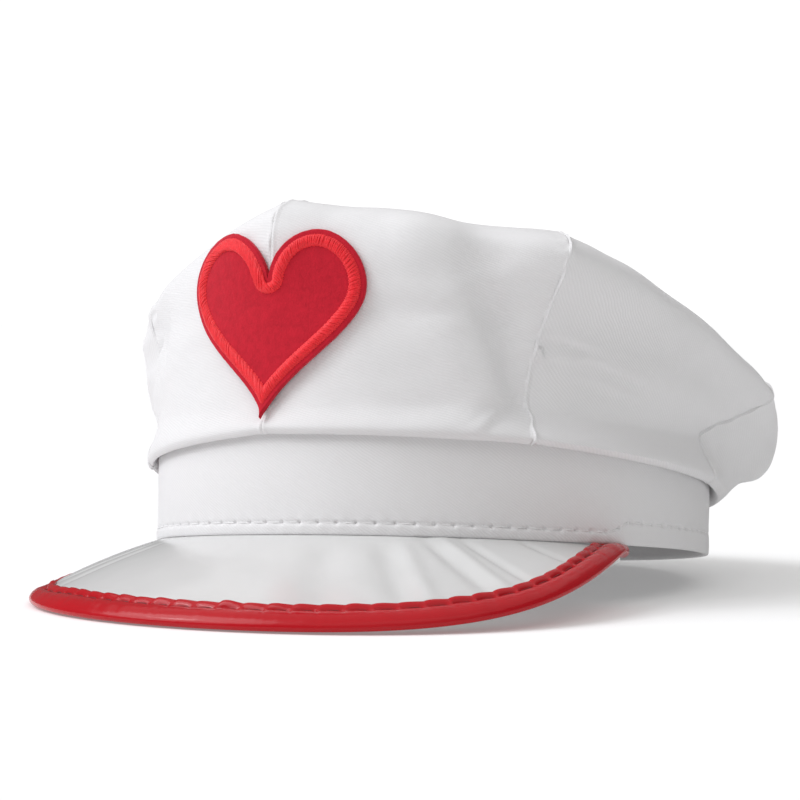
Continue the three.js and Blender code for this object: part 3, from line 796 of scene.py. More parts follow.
# How far beside a seam its ridge lies, how far its puckers reach and how wide a gore is where the seams start
# to flatten, in millimetres, and how much of a seam's depth its edges roll in.
RIDGE_OFFSET = 0.6
PUCKER_REACH = 3.5
NARROW_GORE = 12
EDGE_ROLL = 0.25


def seam_relief(grid, gore, sizes):
    """How a gore's two edges roll into their seams, with a ridge over the turned-in cloth and puckers."""
    run = run_up(grid)
    relief = np.zeros(grid.shape[:2])
    for edge, distance in enumerate(seam_distances(grid)):
        seam = gore + edge
        raised = (edge == 0) == (gore < len(GORE_NAMES) // 2)
        near = np.clip(1 - distance / sizes.seam_reach, 0, 1)
        wander = 1.7 * np.sin(run / 17 + seam)
        pucker = np.sin(2 * math.pi * run / sizes.pucker_length + 2.1 * seam + wander)
        uneven = 0.75 + 0.25 * np.sin(run / 4.1 + 3 * seam + 2 * np.sin(run / 9))
        ridge = sizes.seam_ridge * (FRONT_SEAM_RIDGE if seam % len(GORE_NAMES) == 0 else 1)
        from_ridge = distance - RIDGE_OFFSET if raised else distance + RIDGE_OFFSET
        relief += ridge * uneven * bell(from_ridge, RIDGE_OFFSET) - EDGE_ROLL * sizes.seam_depth * near ** 2
        relief += sizes.pucker_height * pucker * np.exp(-distance / PUCKER_REACH) * (1 - near ** 2)
    return relief * np.clip(seam_distances(grid)[0][-1] / NARROW_GORE, 0, 1)


def at_place(grid, places, across, station):
    """The point of a gore's grid at a place across it and a station up it."""
    column = np.interp(across, gore_across(), np.arange(len(grid)))
    row = np.interp(station, places, np.arange(len(places)))
    i, j = min(int(column), len(grid) - 2), min(int(row), len(places) - 2)
    a, b = column - i, row - j
    low = grid[i, j] * (1 - a) + grid[i + 1, j] * a
    high = grid[i, j + 1] * (1 - a) + grid[i + 1, j + 1] * a
    return low * (1 - b) + high * b


# Steps along a fold, the share of it that fades at each end, how far it reaches past its ends, and how far
# off the line other cloth still bends with it, in millimetres.
FOLD_STEPS = 81
FOLD_FADE = 0.3
FOLD_END_REACH = 3
FOLD_THROUGH = 7


def fold_line(fold, grid, places):
    """A fold's line over a gore, smooth through its three places, and how deep it is along that line."""
    share = np.linspace(0, 1, FOLD_STEPS)
    first, middle, last = (1 - share) * (1 - 2 * share), 4 * share * (1 - share), share * (2 * share - 1)
    across = fold["a0"] * first + fold["a1"] * middle + fold["a2"] * last
    stations = fold["s0"] * first + fold["s1"] * middle + fold["s2"] * last
    line = np.array([at_place(grid, places, a, station) for a, station in zip(across, stations)])
    depth = fold["depth"] * (smooth_step(share, 0, FOLD_FADE) * (1 - smooth_step(share, 1 - FOLD_FADE, 1)))
    return line, depth


def fold_depths(grid, out, places, gore):
    """How deep the folds press a gore in."""
    depth = np.zeros(grid.shape[:2])
    for fold in FOLDS:
        if fold["gore"] != gore:
            continue
        line, line_depth = fold_line(fold, grid, places)
        ahead = np.gradient(line, axis=0)
        ahead /= np.linalg.norm(ahead, axis=1, keepdims=True)
        gaps = grid[:, :, None] - line
        nearest = np.argmin(np.sum(gaps ** 2, axis=-1), axis=2)
        gap = np.take_along_axis(gaps, nearest[:, :, None, None], axis=2)[:, :, 0]
        side = np.sum(gap * np.cross(ahead[nearest], out), axis=-1)
        beyond = np.sum(gap * ahead[nearest], axis=-1)
        beyond = np.where((nearest == 0) | (nearest == FOLD_STEPS - 1), beyond, 0)
        off = np.sum(gap * out, axis=-1)
        width = np.where(side < 0, fold["wide_right"], fold["wide_left"])
        away = (side / width) ** 2 + (beyond / FOLD_END_REACH) ** 2 + (off / FOLD_THROUGH) ** 2
        depth += line_depth[nearest] * np.exp(-away)
    return depth


def matched_at_seams(depths, grids):
    """Fold depths with both sides of each seam brought to one depth, over a few millimetres of cloth."""
    matched = []
    for gore, (depth, grid) in enumerate(zip(depths, grids)):
        first, last = seam_distances(grid)
        at_first = (depths[gore - 1][-1] - depth[0]) / 2
        at_last = (depths[(gore + 1) % len(depths)][0] - depth[-1]) / 2
        matched.append(depth + at_first * bell(first, SEAM_MATCH) + at_last * bell(last, SEAM_MATCH))
    return matched


def seam_normals(outs, grids):
    """Outward directions of the gores, turned beside each seam to one that its two sides share."""
    shared = []
    for gore, (out, grid) in enumerate(zip(outs, grids)):
        near_first, near_last = (bell(away, SEAM_MATCH)[..., None] for away in seam_distances(grid))
        at_first = outs[gore - 1][-1] + out[0]
        at_last = out[-1] + outs[(gore + 1) % len(outs)][0]
        turn = out * (1 - near_first) * (1 - near_last) + near_first * at_first / 2 + near_last * at_last / 2
        shared.append(turn / np.linalg.norm(turn, axis=-1, keepdims=True))
    return shared


# How far beside a seam the cloth moves with it where it wanders, in millimetres.
SHIFT_REACH = 6


def seam_shift(grids, places, gore):
    """Sideways shifts of a gore's edges where its seams wander, the same from both sides of a seam."""
    shift = np.zeros_like(grids[gore])
    for edge, distance in enumerate(seam_distances(grids[gore])):
        seam = (gore + edge) % len(GORE_NAMES)
        level = (grids[seam][1] - grids[seam][0]) + (grids[seam - 1][-1] - grids[seam - 1][-2])
        level /= np.maximum(np.linalg.norm(level, axis=-1, keepdims=True), 1e-9)
        for row in SEAM_SHIFTS:
            if row["seam"] == seam:
                here = row["shift"] * bell(places - row["station"], row["reach"])
                shift += level * (here * bell(distance, SHIFT_REACH))[..., None]
    return shift


def gore_twill(grid, degrees):
    """The cloth's own coordinates in millimetres, turned so that the first runs across the twill ribs."""
    along = seam_distances(grid)[0]
    return turned(along - along[len(grid) // 2], run_up(grid) + 0 * along, degrees)


# Turns from the front, in degrees: where the lip starts to puff out at the left, where it stops lying close
# at the left and all round, where the crease above it deepens, and where the puff and the crease end. Last,
# how much of the crease there is at the front.
PUFF_STARTS = (35, 70)
CLOSE_ENDS_LEFT = (35, 60)
CLOSE_ENDS = (75, 100)
CREASE_STARTS = (40, 58)
LIP_ENDS = (85, 115)
FRONT_CREASE = 0.2

# Where the puff, the close lip and the crease are, and how far they reach, in stations.
PUFF_STATION = 3.9
PUFF_STATIONS = 0.55
TUCK_STATION = 3.85
TUCK_STATIONS = 0.75
CREASE_IN = 1.05
CREASE_OUT = 0.7
CREASE_STATION_END = 5.65


def lip_relief(across, places, gore, sizes):
    """The crown's lower lip puffs out over the band at the wearer's left and lies close at the front and the
    right, and the waist above it is creased in."""
    angle = section_rows(gore, across)["angle"]
    turn = np.minimum(angle, 360 - angle)
    on_left = angle < 180
    behind = smooth_step(turn, *LIP_ENDS)
    puffed = on_left * smooth_step(turn, *PUFF_STARTS) * (1 - behind)
    close = (1 - smooth_step(turn, *CLOSE_ENDS_LEFT) * on_left) * (1 - smooth_step(turn, *CLOSE_ENDS))
    creased = (FRONT_CREASE + (1 - FRONT_CREASE) * smooth_step(turn, *CREASE_STARTS)) * (1 - behind)
    puff = bell(places - PUFF_STATION, PUFF_STATIONS)
    tuck = bell(places - TUCK_STATION, TUCK_STATIONS)
    into = (places - PUFF_STATION) / CREASE_IN
    waist = np.clip(np.minimum(into, (CREASE_STATION_END - places) / CREASE_OUT), 0, 1)
    return (sizes.lip_swell * puffed[:, None] * puff - sizes.lip_tuck * close[:, None] * tuck
            - sizes.waist_crease * creased[:, None] * waist)


# Direction across the twill ribs of each gore, in degrees from level.
GORE_TWILL = (72, 58, 75, 60, 120, 105, 110, 70)


class CAP_OT_crown(bpy.types.Operator):
    """Build the eight cloth gores of the crown"""

    bl_idname = "cap.crown"
    bl_label = "Crown gores"

    def execute(self, context):
        sizes = context.scene.cap_sizes
        across = gore_across()
        places = station_places()
        grids = [gore_surface(gore, across, places) for gore in range(len(GORE_NAMES))]
        outs = [grid_normals(grid) for grid in grids]
        folds = [fold_depths(grid, out, places, gore) for gore, (grid, out) in enumerate(zip(grids, outs))]
        free = np.clip((places - 4) / 1.5, 0, 1)[None, :]
        folds = matched_at_seams(folds, grids)
        outs = seam_normals(outs, grids)
        for gore, (name, grid, out, fold) in enumerate(zip(GORE_NAMES, grids, outs, folds)):
            relief = slack_waves(grid, sizes.slack_height) * free + seam_relief(grid, gore, sizes) - fold
            level = oval_normal(np.radians(section_rows(gore, across)["angle"]))[:, None]
            lip = level * lip_relief(across, places, gore, sizes)[..., None]
            cloth = grid + out * relief[..., None] + lip + seam_shift(grids, places, gore)
            piece = sheet_from_grid(name + "_cloth", cloth, gore_twill(grid, GORE_TWILL[gore]))
            apply_modifier(piece, "SOLIDIFY", thickness=CLOTH_WALL * MM, offset=-1)
            dress(piece, "twill", "white_twill", name)
        return {"FINISHED"}


# The band: the heights of its stitch row at the front and behind the peak, the turns between which the row
# climbs, the hem's sag over the peak and where that ends, and the direction across its twill ribs.
BAND_COLUMNS = 1400
STITCH_ROW_FRONT = 3.4
STITCH_ROW_BACK = 6.8
STITCH_ROW_STEP = (69.5, 76.0)
HEM_SAG = 0.2
HEM_SAG_ENDS = (75, 95)
BAND_TWILL = 58

# The relief of the band's face, in millimetres: the stitch row's groove and holes, the fuller hem below it,
# puckers from stitch to stitch, and unevenness. Then the stitches.
GROOVE_DEPTH = 0.2
GROOVE_WIDTH = 0.6
HOLE_DEPTH = 0.85
HOLE_LENGTH = 0.5
HEM_FULLNESS = 0.22
PUCKERS_HEIGHT = 0.1
PUCKERS_REACH = 2.2
BAND_UNEVENNESS = 0.35
STITCH_RADIUS = 0.2
STITCH_OUT = -0.15


def turn_from_front(angle):
    """How far round from the front an angle is to either side, in degrees."""
    return np.abs((np.degrees(angle) + 180) % 360 - 180)


def stitch_row_height(angle):
    """Height of the band's stitch row: it climbs behind the peak's ends."""
    climb = smooth_step(turn_from_front(angle), *STITCH_ROW_STEP)
    return STITCH_ROW_FRONT + (STITCH_ROW_BACK - STITCH_ROW_FRONT) * climb


def oval_lengths(count):
    """Angles round the oval and how far round it each one is, in millimetres."""
    angle = np.linspace(0, 2 * math.pi, count + 1)
    return angle, run_along(oval_point(angle, 0, 0))


def band_profile():
    """The band's section, out and up: down its inner side, round its lower edge and up its outer face."""
    inner = -BAND_WALL
    outer = np.concatenate([np.linspace(0, 10, 31), np.linspace(10.8, BAND_HEIGHT, 22)])
    profile = [(inner, BAND_HEIGHT - 0.2)]
    profile += [(inner, height) for height in np.linspace(BAND_HEIGHT - 2, 1.2, 6)]
    profile += [(inner + 0.3, 0.4), (inner + 0.9, 0.05), (-0.6, 0.0), (-0.15, 0.05)]
    profile += [(0.0, height) for height in outer[1:]]
    profile += [(-0.5, BAND_HEIGHT + 0.05), (inner + 0.4, BAND_HEIGHT + 0.05)]
    return np.array(profile)


def band_relief(angle, run, pitch, up):
    """How far out the band's face lies at a height: the stitch row's groove and holes, the fuller hem below
    them, puckers from stitch to stitch, and slow unevenness."""
    row = stitch_row_height(angle)
    gap = up - row
    hole = bell((run + pitch / 2) % pitch - pitch / 2, HOLE_LENGTH)
    groove = GROOVE_DEPTH * bell(gap, GROOVE_WIDTH) + HOLE_DEPTH * hole * bell(gap, HOLE_LENGTH)
    hem = np.clip(1 - (gap + row / 2) ** 2 / (row / 2) ** 2, 0, 1)
    puckers = PUCKERS_HEIGHT * np.sin(2 * math.pi * run / pitch) * bell(gap, PUCKERS_REACH)
    slow = [noise.noise(Vector((math.sin(a) * 3.1, math.cos(a) * 3.1, up / 16))) for a in angle]
    uneven = BAND_UNEVENNESS * np.array(slow) * min(1, up / 4)
    return -groove + (HEM_FULLNESS * hem + puckers) + uneven


class CAP_OT_band(bpy.types.Operator):
    """Build the cloth band, with the groove and the holes of its stitch row"""

    bl_idname = "cap.band"
    bl_label = "Band"

    def execute(self, context):
        angle, run = oval_lengths(BAND_COLUMNS)
        stitches = round(run[-1] / context.scene.cap_sizes.stitch_pitch)
        pitch = run[-1] / stitches
        profile = band_profile()
        sag = HEM_SAG * (1 - smooth_step(turn_from_front(angle), *HEM_SAG_ENDS))
        grid = np.empty((len(angle), len(profile), 3))
        for j, (out, up) in enumerate(profile):
            on_face = out > -0.2
            relief = band_relief(angle, run, pitch, up) if on_face else np.zeros_like(angle)
            grid[:, j] = oval_point(angle, out + relief, up - sag * max(0, 1 - up))
        grid[-1] = grid[0]
        u, v = np.meshgrid(run, run_along(profile), indexing="ij")
        piece = sheet_from_grid("band_cloth", grid, turned(u, v, BAND_TWILL), wrap=True)
        close_ring(piece)
        dress(piece, "twill", "white_twill", "band")
        add_band_stitches(stitches, pitch)
        return {"FINISHED"}


def close_ring(piece):
    """Joins a wrapped sheet's first and last rows, which lie side by side, into a closed wall."""
    with edit_mode(piece):
        bpy.ops.mesh.select_all(action="DESELECT")
        bpy.ops.mesh.select_mode(type="EDGE")
        bpy.ops.mesh.select_non_manifold()
        bpy.ops.mesh.bridge_edge_loops()
        bpy.ops.mesh.select_all(action="SELECT")
        bpy.ops.mesh.normals_make_consistent(inside=False)


def stitch_shape(length, radius):
    """One stitch, lying along X with its ends dipping into the cloth: points and faces."""
    bpy.ops.object.select_all(action="DESELECT")
    bpy.ops.mesh.primitive_cylinder_add(vertices=8, radius=1, depth=1, rotation=(0, math.pi / 2, 0))
    shape = bpy.context.object
    bpy.ops.object.transform_apply(rotation=True)
    bpy.ops.object.mode_set(mode="EDIT")
    bm = bmesh.from_edit_mesh(shape.data)
    bmesh.ops.subdivide_edges(
        bm, edges=[edge for edge in bm.edges if abs(edge.verts[0].co.x - edge.verts[1].co.x) > 0.5], cuts=5)
    bmesh.update_edit_mesh(shape.data)
    bpy.ops.object.mode_set(mode="OBJECT")
    points = np.array([tuple(vertex.co) for vertex in shape.data.vertices])
    faces = [tuple(face.vertices) for face in shape.data.polygons]
    bpy.data.objects.remove(shape)
    share = points[:, 0] * 2
    girth = np.sqrt(np.clip(1 - 0.75 * share ** 4, 0.05, 1)) * radius
    shaped = np.stack([share * length / 2, points[:, 1] * girth, points[:, 2] * girth], -1)
    shaped[:, 2] -= radius * 1.5 * share ** 4
    return shaped, faces


def join_copies(name, shape, places, kind, slot):
    """One piece from copies of a small shape, each set at a place with its own three directions."""
    points, faces = shape
    all_points = []
    all_faces = []
    for origin, ahead, side, out in places:
        all_faces += shifted(faces, len(all_points) * len(points))
        all_points.append(points @ np.stack([ahead, side, out]) + origin)
    piece = loose_mesh(name, np.concatenate(all_points), all_faces)
    return dress(piece, kind, slot)


def add_band_stitches(stitches, pitch):
    """The band's row of stitches, one between each hole and the next."""
    angle, run = oval_lengths(4000)
    places = []
    for count in range(stitches):
        steps = (count + 0.5 + np.array([-0.3, 0.0, 0.3])) * pitch
        before, middle, after = np.interp(steps, run, angle)
        ahead = unit(oval_point(after, 0, stitch_row_height(after))
                     - oval_point(before, 0, stitch_row_height(before)))
        out = oval_normal(np.array(middle))
        origin = oval_point(middle, STITCH_OUT, stitch_row_height(middle))
        places.append((origin, ahead, unit(np.cross(out, ahead)), unit(out)))
    stitch = stitch_shape(pitch * 0.8, STITCH_RADIUS)
    join_copies("band_topstitch", stitch, places, "white_thread", "white_twill")


# The peak.
def table_height(point):
    """Height over the table of an upright place, in millimetres."""
    return (POSE @ Vector(point)).z / MM


def upright_height(x, y, height):
    level = table_height((x, y, 0))
    return (height - level) / (table_height((x, y, 1)) - level)


def peak_edge(place):
    """The peak's outer edge at a place from -1, the wearer's right end, to 1, the left end."""
    end = min(abs(place), 1.0)
    angle = math.radians(place * PEAK_HALF_ANGLE)
    fullness = PEAK_FULLNESS_RIGHT if place < 0 else PEAK_FULLNESS_LEFT
    reach = PEAK_REACH * (1 - end ** PEAK_ROUNDNESS) ** fullness
    swing = PEAK_SWING * end
    out = oval_normal(np.array(angle)) * (1 - swing)
    out[1] -= swing
    point = oval_point(angle, 0, 0) + unit(out) * reach
    power = PEAK_LIFT_POWER_RIGHT if place < 0 else PEAK_LIFT_POWER_LEFT
    band_height = table_height(oval_point(angle, 0, 0))
    height = PEAK_EDGE_HEIGHT + (band_height - PEAK_EDGE_HEIGHT) * end ** power
    point[2] = min(upright_height(point[0], point[1], height), -peak_drop(place) - 0.2)
    return point


def peak_drop(place):
    return PEAK_GAP + PEAK_END_DROP * abs(place) ** 8


def right_end(place):
    """How far a place is into the peak's end at the wearer's right, from 0 to 1."""
    return float(smooth_step(-place, RIGHT_END_STARTS, RIGHT_END_FULL))


def peak_point(place, along):
    """A place on the peak's upper face: along is 0 at the band and 1 at the outer edge."""
    root = oval_point(math.radians(place * PEAK_HALF_ANGLE), 0, -peak_drop(place))
    point = root + (peak_edge(place) - root) * along
    point[2] += PEAK_BULGE * (1 - abs(place) ** 4) * 4 * along * (1 - along)
    return point


def end_places(columns, end):
    """Places along the peak, closer together towards its ends."""
    even = np.linspace(-1, 1, columns + 1)
    return end * (0.75 * np.sin(even * math.pi / 2) + 0.25 * even)


def peak_up(place):
    """The direction that faces up from the peak's sheet near its outer edge."""
    edge = peak_point(place, 1)
    inward = peak_point(place, 0.8) - edge
    beside = peak_point(min(place + 0.01, 1), 1) - peak_point(max(place - 0.01, -1), 1)
    up = unit(np.cross(inward, beside))
    return -up if up[2] < 0 else up


# How deep the peak's creases are against their table.
CREASE_STRENGTH = 1.25


def crease_depth(place, along):
    """How deep the peak's creases are at a place."""
    depth = 0.0
    for crease in PEAK_CREASES:
        share = (along - crease["along"]) / (crease["end_along"] - crease["along"])
        middle = crease["place"] + (crease["end_place"] - crease["place"]) * share
        fade = smooth_step(share, -0.1, 0.25) * (1 - smooth_step(share, 0.75, 1.15))
        beside = math.exp(-((place - middle) / crease["half_width"]) ** 2)
        depth += CREASE_STRENGTH * crease["depth"] * fade * beside
    return depth


class CAP_OT_peak(bpy.types.Operator):
    """Build the peak's glossy sheet, with the soft creases that fan out from the band"""

    bl_idname = "cap.peak"
    bl_label = "Peak"

    def execute(self, context):
        piece = sheet_from_grid("peak_sheet", peak_sheet_grid())
        apply_modifier(piece, "SOLIDIFY", thickness=PEAK_WALL * MM, offset=-1)
        dress(piece, "vinyl", "white_vinyl", "peak")
        return {"FINISHED"}


# The sheet's mesh, how far inside the strip it ends, how far it lies below its own line where the strip
# covers it, how far inward of the strip it starts to go down, and over what length, in millimetres.
SHEET_COLUMNS = 320
SHEET_ROWS = 60
SHEET_INSET = 0.3
TUCKED_UNDER = 0.3
SHEET_TUCK_STARTS = 1.5
SHEET_TUCK_REACH = 2.5


def peak_sheet_grid():
    """The peak's upper face as a grid, from its tab under the band to just inside its outer edge."""
    alongs = np.linspace(0, 1, SHEET_ROWS)
    columns = []
    for place in end_places(SHEET_COLUMNS, PEAK_SHEET_END):
        up = peak_up(place)
        length = np.linalg.norm(peak_point(place, 1) - peak_point(place, 0))
        reach = 1 - (BINDING_WALL + SHEET_INSET) / length
        column = [oval_point(math.radians(place * PEAK_HALF_ANGLE), -PEAK_TAB, -peak_drop(place))]
        covered = strip_width(place) + SHEET_TUCK_STARTS
        for along in alongs * reach:
            under = smooth_step(covered - length * (1 - along), 0, SHEET_TUCK_REACH)
            depth = crease_depth(place, along) * (1 - under) + TUCKED_UNDER * under
            column.append(peak_point(place, along) - up * depth)
        columns.append(column)
    return np.array(columns)[::-1]


def out_of_oval(point):
    """How far a place is outside the band's outer face, seen from above."""
    angle = math.atan2(point[0] / BAND_HALF_WIDTH, -point[1] / BAND_HALF_LENGTH)
    foot = oval_point(angle, 0, 0)
    return float(np.dot((point - foot)[:2], oval_normal(np.array(angle))[:2]))


def peak_cover():
    """The peak's upper face, carried on under the band, as a surface to find heights on."""
    rows = []
    for place in end_places(160, BINDING_END):
        root, edge = peak_point(place, 0), peak_point(place, 1)
        inner = root + (root - edge) * min(1.0, 14 / max(np.linalg.norm(root - edge), 1))
        inner[2] = root[2]
        rows.append([inner, root] + [peak_point(place, along) for along in np.linspace(0.1, 1, 10)])
    return surface_of(np.array(rows))


def strip_width(place):
    """The strip's width on top, which is a little less towards the peak's two ends."""
    left = NARROWER_AT_LEFT_END * smooth_step(place, *NARROWS_AT_LEFT)
    right = NARROWER_AT_RIGHT_END * smooth_step(-place, *NARROWS_AT_RIGHT)
    return BINDING_WIDTH - left - right


def binding_frames(places):
    """For each place on the peak's edge: the edge, the way in, up, and how wide the strip is there."""
    cover = peak_cover()
    edges = np.array([peak_point(place, 1) for place in places])
    tangents = np.gradient(edges, axis=0)
    frames = []
    for place, edge, tangent in zip(places, edges, tangents):
        square = unit(np.array([-tangent[1], tangent[0], 0.0]))
        width = strip_width(place)
        while width > 2 and out_of_oval(edge + square * width) < -PEAK_TAB:
            width -= 0.25
        target = edge + square * width
        hit = cover.ray_cast(Vector((target[0], target[1], 60)), Vector((0, 0, -1)))[0]
        target[2] = hit.z if hit is not None else -peak_drop(place)
        inward = unit(target - edge)
        up = unit(np.cross(tangent, inward))
        frames.append((edge, inward, -up if up[2] < 0 else up, width))
    return frames


# The strip's section: how far from its inner edge the groove of the stitches is, how far its edge swings in
# and out between them, and its shoulder and crest. Its lip is a table of insets from the inner edge and
# heights, with what a hump between two stitches and a bridge over one add.
LIP_GROOVE = 2.9
SCALLOP = 0.4
SHOULDER_HEIGHT = 2.08
CREST_PLACE = 0.43
CREST_HEIGHT = 2.25
STRIP_LIP = table("inset height by_hump by_bridge", [
    (0.05, PEAK_WALL / 2 + 0.02, 0, 0),
    (-0.05, 1.0, 0, 0),
    (0.15, 1.35, 0.2, 0),
    (0.6, 1.5, 0.4, 0),
    (1.3, 1.5, 0.45, 0),
    (2.0, 1.4, 0.3, 0),
    (2.5, 1.2, 0.1, 0.2),
    (LIP_GROOVE, 0.95, 0, 0.45),
    (3.3, 1.25, 0, 0.25),
    (3.9, 1.7, 0.1, -0.1),
])

# Along the strip: its mesh steps, how far the humps lean, how much of the pitch a bridge is, where the hem
# starts to cover it, and its stitches' radius.
BINDING_COLUMNS = 1000
HUMP_LEAN = 0.6
BRIDGE_SHARE = 0.09
HEM_COVERS = 0.75
STRIP_STITCH_RADIUS = 0.3


def binding_profile(width, hump, bridge, wave, flatness):
    """The strip's section round its U, from its inner edge on top: inset from the edge, and height.

    The lip puffs up between two stitches by the hump, and the groove of the stitches rises at a bridge, where
    the thread goes down. Heights are over the middle of the peak's sheet."""
    inside = BINDING_SLOT / 2
    outside = inside + BINDING_WALL
    top = PEAK_WALL / 2
    fit = min(1.0, max(0.05, (width - 2.4) / 6.5))
    edge = width + fit * SCALLOP * (hump - 0.5)
    lip = [
        (edge - row["inset"] * fit, row["height"] + row["by_hump"] * hump + row["by_bridge"] * bridge)
        for row in STRIP_LIP
    ]
    crest = CREST_PLACE * width
    shoulder = [((lip[-1][0] + crest) / 2, SHOULDER_HEIGHT + 0.5 * wave - 0.08 * bridge)]
    turns = np.linspace(math.pi / 2, 0, 12)
    over = []
    for turn in turns:
        height = (CREST_HEIGHT + wave * math.sin(turn)) * math.sin(turn)
        over.append((crest * (1 - math.cos(turn)), height))
    round_under = min(3.0, 0.45 * width)
    under = [(round_under * (1 - math.cos(turn)), -outside * math.sin(turn)) for turn in turns[::-1][1:]]
    low = [(width * 0.5, -outside), (width * 0.96, -outside), (width, -outside + 0.3), (width, -inside)]
    slot = [(BINDING_WALL, -inside), (BINDING_WALL, inside)]
    profile = np.array(lip + shoulder + over + under + low + slot)
    profile[:, 1] = np.where(profile[:, 1] > top, top + (profile[:, 1] - top) * flatness, profile[:, 1])
    return profile


def hump_heights(count):
    """How high the strip puffs between its stitches, a little different for each."""
    chance = random.Random(5)
    return [chance.choice((0.6, 0.8, 0.9, 1.0, 1.1, 1.7)) for _ in range(count + 1)]


def strip_flatness(place):
    return 1 - RIGHT_END_FLATNESS * right_end(place)


def under_hem(points):
    """Presses what runs under the band's hem down to it, so that the hem lies over it."""
    for point in points:
        limit = -0.1 + 0.15 * max(0.0, out_of_oval(point))
        point[2] = min(point[2], limit)
    return points


def strip_wave(distance):
    """Unevenness of the strip's crest along it, in millimetres."""
    slow = noise.noise(Vector((distance / 5.5, 0, 3)))
    return 0.16 * slow + 0.08 * noise.noise(Vector((distance / 1.9, 5, 3)))


class CAP_OT_binding(bpy.types.Operator):
    """Build the glossy strip round the peak's edge, puckered between its stitches"""

    bl_idname = "cap.binding"
    bl_label = "Binding"

    def execute(self, context):
        places = end_places(BINDING_COLUMNS, BINDING_END)
        frames = binding_frames(places)
        run = run_along(np.array([frame[0] for frame in frames]))
        stitches = round(run[-1] / context.scene.cap_sizes.binding_pitch)
        pitch = run[-1] / stitches
        heights = hump_heights(stitches)
        loops = []
        for place, distance, (edge, inward, up, width) in zip(places, run, frames):
            phase = (distance / pitch) % 1
            hump = heights[int(distance / pitch)] * math.sin(math.pi * phase ** HUMP_LEAN)
            bridge = math.exp(-(min(phase, 1 - phase) / BRIDGE_SHARE) ** 2)
            profile = binding_profile(width, hump, bridge, strip_wave(distance), strip_flatness(place))
            loop = edge - up * PEAK_WALL / 2 + np.outer(profile[:, 0], inward) + np.outer(profile[:, 1], up)
            loops.append(under_hem(loop) if abs(place) > HEM_COVERS else loop)
        grid = np.array(loops)
        piece = loose_mesh("peak_binding_strip", grid.reshape(-1, 3), tube_faces(*grid.shape[:2]))
        recalculate(piece)
        dress(piece, "binding", "red_vinyl", "peak_binding")
        add_binding_stitches(places, frames, run, stitches, pitch)
        return {"FINISHED"}


def add_binding_stitches(places, frames, run, stitches, pitch):
    """The strip's stitches, lying in the groove behind its lip."""
    groove = np.array([
        edge + inward * (width - LIP_GROOVE) + up * (0.07 + 0.35 * strip_flatness(place))
        for place, (edge, inward, up, width) in zip(places, frames)
    ])
    spots = []
    for count in range(1, stitches - 1):
        steps = (count + 0.5 + np.array([-0.3, 0.0, 0.3])) * pitch
        first, middle, last = np.stack([np.interp(steps, run, groove[:, k]) for k in range(3)], -1)
        up = frames[int(np.interp(steps[1], run, np.arange(len(run))))][2]
        ahead = unit(last - first)
        side = unit(np.cross(up, ahead))
        spots.append((middle, ahead, side, unit(np.cross(ahead, side))))
    stitch = stitch_shape(pitch * 0.66, STRIP_STITCH_RADIUS)
    # The thread's dark red paints the groove's shade onto the stitches.
    join_copies("peak_binding_stitches", stitch, spots, "red_thread", "red_vinyl")


# The patch: the width, height and middle of its curve in the curve's own units, and the border's threads.
CURVE_WIDTH = 32
CURVE_HEIGHT = 29
CURVE_MIDDLE = 2.52
THREAD_PLACES = 1400
THREAD_SIDES = 6
THREAD_SLANT = 2.8
THREAD_RADIUS = 0.31
THREAD_ARCH = 0.85


def heart_half(inset, steps):
    """Half of the heart's outline, from the cleft down its left side to the tip, set in by an inset."""
    def base(t):
        x = 16 * math.sin(t) ** 3
        y = 13 * math.cos(t) - 5 * math.cos(2 * t) - 2 * math.cos(3 * t) - math.cos(4 * t)
        return np.array([x * PATCH_WIDTH / CURVE_WIDTH, (y + CURVE_MIDDLE) * PATCH_HEIGHT / CURVE_HEIGHT])

    line = []
    for k in range(12):
        turn = k / 12 * math.pi / 2
        line.append(base(0) + inset * np.array([math.sin(turn), -math.cos(turn)]))
    for k in range(4, 400):
        t = k / 400 * math.pi
        way = unit(base(t + 0.004) - base(t - 0.004))
        line.append(base(t) + inset * np.array([way[1], -way[0]]))
    kept = [point for i, point in enumerate(line) if i == 0 or point[0] > 0.05]
    last, before = kept[-1], kept[-4]
    share = last[0] / (before[0] - last[0])
    kept.append(np.array([0, last[1] + (last[1] - before[1]) * share]))
    return even_points(np.array(kept), steps)


def even_points(line, steps):
    """A line's points, spread evenly along it."""
    run = run_along(line)
    wanted = np.linspace(0, run[-1], steps + 1)
    return np.stack([np.interp(wanted, run, line[:, 0]), np.interp(wanted, run, line[:, 1])], -1)


def heart_outline(inset, steps):
    """The whole outline, walked once round from the cleft, with a point on the seam at the tip too."""
    half = heart_half(inset, steps)
    other = half[1:-1][::-1] * np.array([-1, 1])
    return np.concatenate([half, other])


def front_surface():
    """The crown's front as a surface to lay the patch on, with its seam smoothed over."""
    places = station_places()
    places = places[(places > 4) & (places < 7.9)]
    grids = [gore_surface(gore, np.linspace(0, 1, 33), places) for gore in (7, 0)]
    grid = np.concatenate([grids[0], grids[1][1:]])
    for _ in range(4):
        grid[1:-1] = (grid[:-2] + 2 * grid[1:-1] + grid[2:]) / 4
    return surface_of(grid)


def on_front(surface, flat, height):
    """A flat place on the patch, laid on the crown's front at a height over the cloth."""
    origin = Vector((flat[0], -200, PATCH_CENTRE_Z + flat[1]))
    hit, normal = surface.ray_cast(origin, Vector((0, 1, 0)))[:2]
    if hit is None:
        raise RuntimeError("the patch reaches past the crown's front")
    if normal.y > 0:
        normal = -normal
    return np.array(hit + normal * height)


class CAP_OT_patch(bpy.types.Operator):
    """Build the felt heart and its border of satin stitches"""

    bl_idname = "cap.patch"
    bl_label = "Felt patch"

    def execute(self, context):
        sizes = context.scene.cap_sizes
        surface = front_surface()
        add_felt(surface, sizes.patch_steps // 2)
        add_border(surface, sizes)
        return {"FINISHED"}


